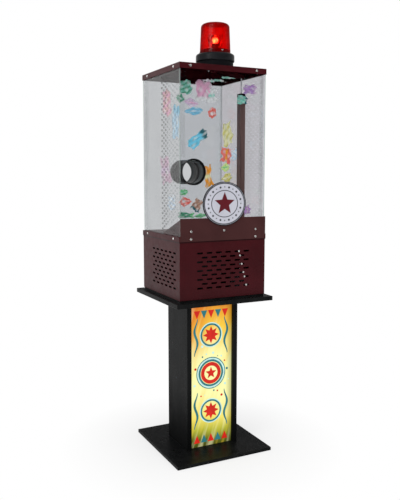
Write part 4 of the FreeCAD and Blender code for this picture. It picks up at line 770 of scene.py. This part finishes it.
def print_panel(panel):
    """The panel's own design: a badge with a star, two bursts between streamers, pennants and confetti."""
    middle, half_x, half_z = panel_window()
    face_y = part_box("graphic_panel")[0][1]
    red, teal, pale = (Print(middle, face_y, panel.ink) for colour in range(3))
    badge = panel.badge

    red.ring(0, 0, badge * 0.66, badge)
    teal.ring(0, 0, badge * 1.05, badge * 1.24)
    pale.ring(0, 0, badge * 1.24, badge * 1.38)
    teal.ring(0, 0, badge * 1.38, badge * 1.46)
    red.star(0, 0, badge * 0.58, badge * 0.25, 5)

    burst = panel.burst
    burst_z = half_z * 0.52
    pennants = 5
    pitch = 2 * half_x * 0.84 / pennants
    for end in (-1, 1):
        red.star(0, end * burst_z, burst, burst * 0.55, 8)
        teal.ring(0, end * burst_z, burst * 1.10, burst * 1.30)
        pale.ring(0, end * burst_z, burst * 1.30, burst * 1.42)
        for side in (-1, 1):
            streamer_at = (side * half_x * 0.72, end * half_z * 0.50)
            teal.streamer(*streamer_at, half_z * 0.50, panel.streamer, side * half_x * 0.07, 1.5)
        row_z = half_z * (0.82 if end > 0 else -0.91)
        for number in range(pennants):
            place = (number - (pennants - 1) / 2) * pitch
            sheet = teal if number % 2 else red
            sheet.disc(place, row_z, pitch * 0.52, 3, math.pi if end > 0 else 0.0, (1.0, 1.35))

    golden = math.pi * (3 - math.sqrt(5))
    dots = 70
    dots_under_badge = 8
    for number in range(dots_under_badge, dots):
        spread = math.sqrt(number / dots)
        x = half_x * 0.88 * spread * math.cos(number * golden)
        z = half_z * 0.72 * spread * math.sin(number * golden)
        near_badge = math.hypot(x, z) < badge * 1.62
        near_burst = math.hypot(x, abs(z) - burst_z) < burst * 1.6
        near_streamer = abs(x) > half_x * 0.54 and half_z * 0.22 < abs(z)
        if not (near_badge or near_burst or near_streamer):
            sheet = (red, teal, pale)[number % 3]
            sheet.disc(x, z, half_x * (0.030 + 0.025 * (number % 4) / 3), 4 + 20 * (number % 2), number)

    pieces = (
        ("panel_print_red", red, panel.red),
        ("panel_print_teal", teal, panel.teal),
        ("panel_print_pale", pale, panel.pale),
    )
    for name, sheet, colour in pieces:
        sheet.finish(name, lit_ink(name, colour), "lit_graphic")


def print_sign(sign):
    """A plain badge: a star in a ring of dots, on the oval sign."""
    low, high, middle = node_box("sign_disc")
    half_x = (high.x - low.x) / 2
    half_z = (high.z - low.z) / 2
    oval = (1.0, half_z / half_x)
    star = Print(middle, low.y, sign.ink)
    dark = Print(middle, low.y, sign.ink)
    star.star(0, 0, half_z * 0.56, half_z * 0.245, 5)
    dark.ring(0, 0, half_x * 0.61, half_x * 0.645, oval)
    dots = 24
    for number in range(dots):
        angle = TURN * number / dots
        size = half_z * (0.050 if number % 2 else 0.030)
        dark.disc(half_x * 0.79 * math.cos(angle), half_z * 0.79 * math.sin(angle), size, 20)
    dark.ring(0, 0, half_x * 0.94, half_x * 0.985, oval)
    star.finish("sign_star", enamel("sign_star_ink", sign.star, 0.4), "sign_face")
    dark.finish("sign_ring", enamel("sign_ring_ink", sign.ring, 0.4), "sign_face")


# Paper slips

PAPER = {
    "teal": (0.42, 0.83, 0.72),
    "deep green": (0.16, 0.50, 0.34),
    "green": (0.30, 0.76, 0.42),
    "pink": (0.94, 0.62, 0.78),
    "white": (0.93, 0.94, 0.94),
    "blue": (0.36, 0.74, 0.90),
    "cyan": (0.30, 0.80, 0.96),
    "deep teal": (0.06, 0.24, 0.28),
    "red": (0.93, 0.30, 0.26),
    "orange": (0.97, 0.52, 0.08),
    "lime": (0.78, 0.95, 0.42),
    "tan": (0.68, 0.46, 0.36),
    "salmon": (0.94, 0.68, 0.68),
    "light blue": (0.66, 0.84, 0.95),
    "mauve": (0.84, 0.66, 0.77),
    "pale blue": (0.75, 0.85, 0.94),
    "pale yellow": (0.94, 0.93, 0.64),
    "olive": (0.82, 0.78, 0.32),
    "violet": (0.76, 0.54, 0.86),
    "lilac": (0.87, 0.74, 0.88),
}
PALE_PATCH = (0.95, 0.96, 0.95)

# One row for each slip, in the frame's order: paper, second colour and cut.
SLIPS = (
    ("teal", "deep green", "crumple"),
    ("deep green", "teal", "leaf"),
    ("pink", "white", "ticket"),
    ("white", "teal", "bow"),
    ("blue", "light blue", "leaf"),
    ("red", "white", "oval"),
    ("cyan", "deep teal", "ticket"),
    ("orange", "pale yellow", "bow"),
    ("lime", "green", "leaf"),
    ("red", "white", "oval"),
    ("green", "teal", "leaf"),
    ("tan", "deep teal", "ticket"),
    ("green", "deep green", "leaf"),
    ("deep green", "green", "ticket"),
    ("salmon", "pink", "crumple"),
    ("light blue", "blue", "ticket"),
    ("mauve", "lilac", "bow"),
    ("pale blue", "white", "crumple"),
    ("pale yellow", "olive", "crumple"),
    ("red", "orange", "bow"),
    ("olive", "pale yellow", "leaf"),
    ("light blue", "white", "crumple"),
    ("violet", "lilac", "ticket"),
    ("violet", "mauve", "bow"),
    ("teal", "white", "leaf"),
    ("white", "lilac", "crumple"),
    ("teal", "white", "ticket"),
    ("lilac", "pink", "leaf"),
    ("teal", "deep teal", "ticket"),
)


def loose_parts(mesh):
    """The corner points of each separate solid in a CAD node, in the mesh's order."""
    shape = bmesh.new()
    shape.from_mesh(mesh)
    bmesh.ops.remove_doubles(shape, verts=shape.verts[:], dist=MERGE)
    seen = set()
    parts = []
    for vert in shape.verts:
        if vert in seen:
            continue
        seen.add(vert)
        waiting = [vert]
        corners = []
        while waiting:
            current = waiting.pop()
            corners.append(current.co.copy())
            near = {edge.other_vert(current) for edge in current.link_edges} - seen
            seen |= near
            waiting += near
        parts.append(corners)
    shape.free()
    return parts


def card_sides(corners, inside):
    """A flat card's wall point, its long and short sides and the direction into the chamber."""
    start = corners[0]
    spans = sorted((corner - start for corner in corners[1:]), key=lambda span: span.length)
    thickness = spans[0]
    flat = [span for span in spans if abs(span.dot(thickness)) < 0.01 * thickness.length_squared]
    middle = sum(corners, Vector()) / len(corners)
    inward = thickness.normalized()
    if inward.dot(inside - middle) < 0:
        inward.negate()
    wall_point = middle - inward * thickness.length / 2
    return wall_point, flat[1], flat[0], inward


# Each cut takes a point of a unit card, from -0.5 to 0.5 along and up. It gives the point's new place along
# and up, its lift off the wall and its share of the second colour.

def cut_ticket(u, w):
    return u, w, 1.5 * u * u + 0.5 * abs(u) * abs(w), (u - 0.22) / 0.12


def cut_leaf(u, w):
    taper = math.cos(math.pi * u) ** 0.6 if abs(u) < 0.5 else 0.0
    return u, w * (0.06 + 0.94 * taper), 0.9 * (0.5 - abs(w)) * taper + 0.9 * u * u, 1.2 - 9 * abs(w)


def cut_bow(u, w):
    waist = 0.74 + 0.62 * abs(u)
    return u, w * waist, 1.5 * abs(u) * (0.25 + abs(w)), 1.4 - 9 * abs(u)


def cut_oval(u, w):
    across = u * math.sqrt(1 - 2 * w * w)
    up = w * math.sqrt(1 - 2 * u * u)
    return across, up, 2.0 * (across * across + up * up), 1.6 - 6 * math.hypot(across + 0.05, up - 0.05)


def cut_crumple(u, w):
    across = u * (1 - 0.25 * abs(w))
    up = w * (1 - 0.3 * abs(u))
    fold = 0.30 + 0.30 * math.sin(9 * u + 2 * w) * math.cos(8 * w)
    return across, up, fold + 0.6 * u * u, 1.5 * math.sin(20 * u + 6 * w)


CUTS = {
    "ticket": cut_ticket,
    "leaf": cut_leaf,
    "bow": cut_bow,
    "oval": cut_oval,
    "crumple": cut_crumple,
}


def add_slip(shape, corners, inside, row, number, settings):
    """Adds one curled slip that touches its wall and bends into the chamber."""
    paper, second, cut = row
    wall_point, long_side, short_side, inward = card_sides(corners, inside)
    paint = shape.loops.layers.float_color["paper"]
    made = bmesh.ops.create_grid(shape, x_segments=24, y_segments=16, size=0.5)
    colours = {}
    for vert in made["verts"]:
        u, w = vert.co.x, vert.co.y
        across, up, lift, marked = CUTS[cut](u, w)
        up *= 1 + 0.13 * math.sin(7 * u + 1.7 * number) + 0.08 * math.sin(17 * u + 0.6 * number)
        across *= 1 + 0.10 * math.sin(8 * w + 2.3 * number) + 0.05 * math.sin(19 * w + number)
        crease = abs(math.sin(5 * u + 7 * w + number)) + 0.6 * abs(math.sin(9 * u - 6 * w + 2 * number))
        away = settings.thickness + settings.curl * max(0.0, 0.7 * lift + 0.32 * crease)
        vert.co = wall_point + long_side * across + short_side * up + inward * away
        share = min(1.0, max(0.0, marked))
        colour = Vector(PAPER[paper]).lerp(Vector(PAPER[second]), share)
        patch = math.sin(8 * u + 3 * w + 1.3 * number) * math.cos(9 * w - 2 * u + 0.7 * number)
        # Painted shade: the colour darkens in the valleys of the creases, where the paper lies nearest its
        # wall.
        fold_shade = 0.74 + 0.26 * min(1.0, crease)
        colours[vert] = colour.lerp(Vector(PALE_PATCH), 0.75 * max(0.0, patch)) * fold_shade
    for face in {face for vert in made["verts"] for face in vert.link_faces}:
        face.smooth = True
        for loop in face.loops:
            loop[paint] = (*colours[loop.vert], 1.0)


def fold_slips(settings):
    """All the slips in one piece, each where its flat CAD card lies."""
    inside = (Vector(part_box("left_panel")[0]) + Vector(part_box("right_panel")[1])) / 2
    shape = bmesh.new()
    shape.loops.layers.float_color.new("paper")
    cards = loose_parts(frame["nodes"]["prize_slips"].data)
    if len(cards) != len(SLIPS):
        raise ValueError(f"{len(cards)} slips in the frame and {len(SLIPS)} rows of paper")
    for number, (corners, row) in enumerate(zip(cards, SLIPS)):
        add_slip(shape, corners, inside, row, number, settings)
    bmesh.ops.recalc_face_normals(shape, faces=shape.faces[:])
    slips = new_piece("paper_slips", shape, slip_paper())
    wall = slips.modifiers.new("paper", "SOLIDIFY")
    wall.thickness = settings.thickness
    wall.offset = 0.0
    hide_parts("prize_slips")


# Beacon lens

def lens_outline(radius, low, high, beacon, wall):
    """(radius, height) points of one skin of the lens, from the middle of its crown down to its seat."""
    shoulder = high - beacon.shoulder_rise
    rise = beacon.shoulder_rise - wall
    reach = beacon.shoulder_reach - wall
    crown = beacon.top_radius - beacon.shoulder_reach
    bends = 12
    points = [(0.0, shoulder + rise), (crown * 0.6, shoulder + rise)]
    for step in range(bends + 1):
        angle = math.pi / 2 * (1 - step / bends)
        points.append((crown + reach * math.cos(angle), shoulder + rise * math.sin(angle)))
    points.append((radius - wall, low))
    return points


def spin_lens(beacon):
    """A spun lens whose inner skin is fluted, as beacon lenses are."""
    low, high, middle = node_box("beacon_dome")
    radius = (high.x - low.x) / 2
    flutes = 48
    outer = lens_outline(radius, low.z, high.z, beacon, 0.0)
    inner = lens_outline(radius, low.z, high.z, beacon, beacon.wall)
    shape = bmesh.new()
    line = [shape.verts.new((middle.x + r, middle.y, z)) for r, z in outer + inner[::-1]]
    edges = [shape.edges.new(pair) for pair in zip(line, line[1:])]
    bmesh.ops.spin(
        shape, geom=line + edges, cent=(middle.x, middle.y, 0.0), axis=ALONG_Z,
        angle=TURN, steps=4 * flutes, use_merge=True,
    )
    bmesh.ops.remove_doubles(shape, verts=shape.verts[:], dist=MERGE)
    shoulder = high.z - beacon.shoulder_rise
    for vert in shape.verts:
        out = Vector((vert.co.x - middle.x, vert.co.y - middle.y))
        skin_r = radius + (beacon.top_radius - radius) * (vert.co.z - low.z) / (shoulder - low.z)
        if vert.co.z <= shoulder + MERGE and out.length < skin_r - beacon.wall / 2:
            depth = beacon.flute * (0.5 - 0.5 * math.cos(flutes * math.atan2(out.y, out.x)))
            out *= 1 - depth / out.length
            vert.co.x, vert.co.y = middle.x + out.x, middle.y + out.y
    bmesh.ops.recalc_face_normals(shape, faces=shape.faces[:])
    lens = new_piece("beacon_lens", shape, red_lens(beacon))
    lens.data.shade_smooth()
    lens.data.set_sharp_from_angle(angle=math.radians(40))
    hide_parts("beacon_dome")


# Studio

def white_world(stage):
    """A world that looks white and lights the machine from all round."""
    world = bpy.data.worlds.new("white_studio")
    world.use_nodes = True
    sky = Nodes(world.node_tree)
    level = sky.remap(sky.seen_rays(), 0.0, 1.0, stage.ambient, 1.0)
    background = sky.add("ShaderNodeBackground", {"Color": WHITE, "Strength": level})
    sky.add("ShaderNodeOutputWorld", {"Surface": background.outputs[0]})
    bpy.context.scene.world = world


def pale_floor():
    """A pale floor that keeps the shadow near the machine and fades to white further out."""
    finish = Finish("pale_floor")
    axes = finish.axes()
    squares = finish.math("ADD", finish.math("POWER", axes["X"], 2.0), finish.math("POWER", axes["Y"], 2.0))
    distance = finish.math("SQRT", squares)
    path = finish.add("ShaderNodeLightPath").outputs
    grain = finish.mottle(finish.noise(3.0), WHITE, 0.90, 0.93)
    ground = finish.principled({"Base Color": grain, "Roughness": 0.9, "Specular IOR Level": 0.0})
    white = finish.add("ShaderNodeEmission", {"Color": WHITE, "Strength": 1.0}).outputs[0]
    far = finish.remap(distance, 0.25, 0.65, 0.70, 1.0)
    seen = finish.math("MULTIPLY", far, path["Is Camera Ray"])
    bounced = finish.math("MAXIMUM", path["Is Glossy Ray"], path["Is Transmission Ray"])
    mirrored = finish.math("MULTIPLY", finish.remap(distance, 0.6, 4.0, 0.0, 1.0), bounced)
    share = finish.math("MAXIMUM", seen, mirrored)
    shape = bmesh.new()
    bmesh.ops.create_circle(shape, cap_ends=True, segments=96, radius=FLOOR_RADIUS)
    floor = link_shape("studio_floor", shape, finish.show(finish.mix(share, ground, white)))


def studio_flag(name, middle, width, height, grey):
    """An upright felt card that only shows in reflections, which keeps dark finishes deep."""
    finish = Finish(name)
    weave = finish.mottle(finish.noise(200.0), (grey, grey, grey), 0.8, 1.2)
    felt = finish.paint({"Base Color": weave, "Roughness": 0.95, "Specular IOR Level": 0.0})
    stand = Matrix.Translation(middle) @ UPRIGHT @ Matrix.Diagonal((width, height, 1.0, 1.0))
    shape = bmesh.new()
    bmesh.ops.create_grid(shape, x_segments=1, y_segments=1, size=0.5, matrix=stand)
    flag = link_shape(name, shape, felt)
    flag.visible_camera = False
    flag.visible_diffuse = False
    flag.visible_transmission = False
    flag.visible_shadow = False


def softbox(name, place, aim_height, size, power, mirrored=False):
    """A round lamp that looks at the machine. Only a mirrored one shows in the clear panels."""
    lamp = bpy.data.lights.new(name, "AREA")
    lamp.shape = "DISK"
    lamp.size = size
    lamp.energy = power
    box = bpy.data.objects.new(name, lamp)
    box.location = place
    aim = Vector((0.0, 0.0, aim_height)) - Vector(place)
    box.rotation_euler = aim.to_track_quat("-Z", "Y").to_euler()
    box.visible_glossy = mirrored
    bpy.context.scene.collection.objects.link(box)


def photo_camera(stage):
    """The camera that the photo was taken with."""
    data = bpy.data.cameras.new("photo_camera")
    data.lens = stage.lens_mm
    data.sensor_width = SENSOR_MM
    data.shift_y = stage.lift
    data.clip_end = 100.0
    camera = bpy.data.objects.new("photo_camera", data)
    camera.location = stage.camera
    camera.rotation_euler = Vector(stage.aim).to_track_quat("-Z", "Y").to_euler()
    bpy.context.scene.collection.objects.link(camera)
    bpy.context.scene.camera = camera


# Operators

class BLOWER_OT_sheet_metal(bpy.types.Operator):
    """Coat the cabinet's sheets and leave the inner ones in bare zinc"""

    bl_idname = "blower.sheet_metal"
    bl_label = "Sheet Metal"

    def execute(self, context):
        metal = context.scene.blower_metal
        dress(powder_coat("maroon_powder_coat", metal.maroon, metal.edge), "maroon_sheet")
        # The skirt's coat is lighter and greyer than the cabinet's maroon, as painted sheen.
        cover(powder_coat("painted_sheen_maroon_coat", metal.skirt, metal.edge), "front_skirt")
        dress(zinc_sheet(metal), "zinc_sheet")
        cover(trunking_enamel(metal), "wire_trunking")
        cover(plated_metal("dull_zinc_strip", metal.bright, roughness=0.5, metallic=0.3), "vent_stiffener")
        return {"FINISHED"}


class BLOWER_OT_pedestal(bpy.types.Operator):
    """Lacquer the pedestal's boards"""

    bl_idname = "blower.pedestal"
    bl_label = "Pedestal"

    def execute(self, context):
        dress(board_lacquer(context.scene.blower_board), "black_board")
        return {"FINISHED"}


class BLOWER_OT_lit_panel(bpy.types.Operator):
    """Light the front panel and print its design"""

    bl_idname = "blower.lit_panel"
    bl_label = "Lit Panel"

    def execute(self, context):
        panel = context.scene.blower_panel
        dress(lit_sheet(panel), "lit_graphic")
        dress(enamel("lamp_white_enamel", LAMP_ENAMEL, roughness=0.35), "white_enamel")
        dress(lit_tube(), "lamp_glass")
        print_panel(panel)
        return {"FINISHED"}


class BLOWER_OT_chamber(bpy.types.Operator):
    """Make the chamber's panels clear"""

    bl_idname = "blower.chamber"
    bl_label = "Clear Chamber"

    def execute(self, context):
        chamber = context.scene.blower_chamber
        sawn = (ALONG_Y, chamber.rim, 0.45)
        drilled = (ALONG_X, HOLE_WALL, 0.05)
        sheets = (
            ("front", chamber.front, sawn, False),
            ("rear", chamber.rear, sawn, False),
            ("left", chamber.left, drilled, True),
            ("right", chamber.right, drilled, False),
        )
        for side, tint, edge, shaded_rear_holes in sheets:
            sheet = clear_sheet(f"clear_{side}_sheet", chamber.gloss, tint, *edge, shaded_rear_holes)
            cover(sheet, f"{side}_panel")
        cover(clear_sheet("clear_corner_angle", chamber.gloss, chamber.corner), "corner_strips")
        dress(open_foam(), "foam_strip")
        context.scene.cycles.transparent_max_bounces = CLEAR_LAYERS
        return {"FINISHED"}


class BLOWER_OT_hand_port(bpy.types.Operator):
    """Finish the black mouldings, the hand port among them"""

    bl_idname = "blower.hand_port"
    bl_label = "Hand Port and Mouldings"

    def execute(self, context):
        moulding = moulded_plastic("black_moulding", MOULDING_BLACK, roughness=0.30, specular=0.06)
        rubber = moulded_plastic("black_rubber", RUBBER_BLACK, roughness=0.6, grain=0.0001, specular=0.04)
        dress(moulding, "black_plastic")
        dress(rubber, "black_rubber")
        cover(ringed_port(), "port_sleeve", "port_locknut")
        cover(moulded_plastic("pale_lead_sheath", LEAD_SHEATH, roughness=0.45), "beacon_lead")
        return {"FINISHED"}


class BLOWER_OT_round_sign(bpy.types.Operator):
    """Enamel the round sign and print its badge"""

    bl_idname = "blower.round_sign"
    bl_label = "Round Sign"

    def execute(self, context):
        sign = context.scene.blower_sign
        dress(enamel("sign_enamel", sign.face, roughness=0.3), "sign_face")
        print_sign(sign)
        return {"FINISHED"}


class BLOWER_OT_paper_slips(bpy.types.Operator):
    """Fold the coloured slips in the chamber"""

    bl_idname = "blower.paper_slips"
    bl_label = "Paper Slips"

    def execute(self, context):
        fold_slips(context.scene.blower_slips)
        return {"FINISHED"}


class BLOWER_OT_beacon(bpy.types.Operator):
    """Spin the beacon's lens and finish the works in it"""

    bl_idname = "blower.beacon"
    bl_label = "Beacon"

    def execute(self, context):
        beacon = context.scene.blower_beacon
        spin_lens(beacon)
        dress(bulb_glow(beacon), "bulb_glass")
        dress(plated_metal("silvered_mirror", MIRROR_SILVER, roughness=0.06), "reflector_mirror")
        dress(moulded_plastic("white_nylon", NYLON_WHITE, roughness=0.45), "white_nylon")
        return {"FINISHED"}


class BLOWER_OT_blower_works(bpy.types.Operator):
    """Finish the blower, its motor and its shaft"""

    bl_idname = "blower.blower_works"
    bl_label = "Blower Works"

    def execute(self, context):
        dress(enamel("motor_grey_enamel", MOTOR_GREY, roughness=0.45), "motor_enamel")
        dress(moulded_plastic("grey_moulding", BLOWER_GREY, roughness=0.45), "blower_plastic")
        dress(plated_metal("ground_steel", GROUND_STEEL, roughness=0.22), "steel_shaft")
        return {"FINISHED"}


class BLOWER_OT_fasteners(bpy.types.Operator):
    """Plate the screws, bolts and nuts"""

    bl_idname = "blower.fasteners"
    bl_label = "Fasteners"

    def execute(self, context):
        bright = context.scene.blower_metal.bright
        dress(plated_metal("bright_zinc", bright, roughness=0.24), "zinc_screw")
        return {"FINISHED"}


class BLOWER_OT_stage(bpy.types.Operator):
    """Set up the floor, the white background, the lamps and the camera"""

    bl_idname = "blower.stage"
    bl_label = "Studio Stage"

    def execute(self, context):
        stage = context.scene.blower_stage
        white_world(stage)
        pale_floor()
        studio_flag("front_flag", middle=(2.2, -4.4, 2.0), width=9.0, height=4.0, grey=0.006)
        studio_flag("rear_flag", middle=(0.85, 1.5, 0.9), width=2.3, height=1.4, grey=0.30)
        softbox("key_light", (-3.2, -1.6, 3.0), aim_height=1.0, size=1.8, power=stage.key, mirrored=True)
        softbox("fill_light", (2.2, -2.6, 2.2), aim_height=1.0, size=2.2, power=stage.fill)
        softbox("front_light", (-1.0, -3.0, 1.4), aim_height=1.3, size=1.0, power=stage.front)
        photo_camera(stage)
        context.scene.view_settings.view_transform = "Standard"
        return {"FINISHED"}


class BLOWER_PT_sidebar(bpy.types.Panel):
    """Lists the machine's steps and its main settings"""

    bl_idname = "BLOWER_PT_sidebar"
    bl_label = "Blower Machine"
    bl_space_type = "VIEW_3D"
    bl_region_type = "UI"
    bl_category = "Blower Machine"

    def draw(self, context):
        for operator in OPERATORS:
            self.layout.operator(operator.bl_idname)
        for name in SETTINGS:
            box = self.layout.box()
            group = getattr(context.scene, name)
            for setting in group.bl_rna.properties:
                if setting.identifier not in ("rna_type", "name"):
                    box.prop(group, setting.identifier)


SETTINGS = {
    "blower_metal": MetalSettings,
    "blower_board": BoardSettings,
    "blower_panel": PanelSettings,
    "blower_chamber": ChamberSettings,
    "blower_sign": SignSettings,
    "blower_slips": SlipSettings,
    "blower_beacon": BeaconSettings,
    "blower_stage": StageSettings,
}

OPERATORS = (
    BLOWER_OT_sheet_metal,
    BLOWER_OT_pedestal,
    BLOWER_OT_lit_panel,
    BLOWER_OT_chamber,
    BLOWER_OT_hand_port,
    BLOWER_OT_round_sign,
    BLOWER_OT_paper_slips,
    BLOWER_OT_beacon,
    BLOWER_OT_blower_works,
    BLOWER_OT_fasteners,
    BLOWER_OT_stage,
)


def register():
    for group in SETTINGS.values():
        bpy.utils.register_class(group)
    for operator in OPERATORS:
        bpy.utils.register_class(operator)
    bpy.utils.register_class(BLOWER_PT_sidebar)
    for name, group in SETTINGS.items():
        setattr(bpy.types.Scene, name, bpy.props.PointerProperty(type=group))


def unregister():
    for name in SETTINGS:
        delattr(bpy.types.Scene, name)
    bpy.utils.unregister_class(BLOWER_PT_sidebar)
    for operator in reversed(OPERATORS):
        bpy.utils.unregister_class(operator)
    for group in reversed(SETTINGS.values()):
        bpy.utils.unregister_class(group)


def main():
    register()
    bpy.ops.blower.sheet_metal()
    bpy.ops.blower.pedestal()
    bpy.ops.blower.lit_panel()
    bpy.ops.blower.chamber()
    bpy.ops.blower.hand_port()
    bpy.ops.blower.round_sign()
    bpy.ops.blower.paper_slips()
    bpy.ops.blower.beacon()
    bpy.ops.blower.blower_works()
    bpy.ops.blower.fasteners()
    bpy.ops.blower.stage()


if __name__ == "__main__":
    main()
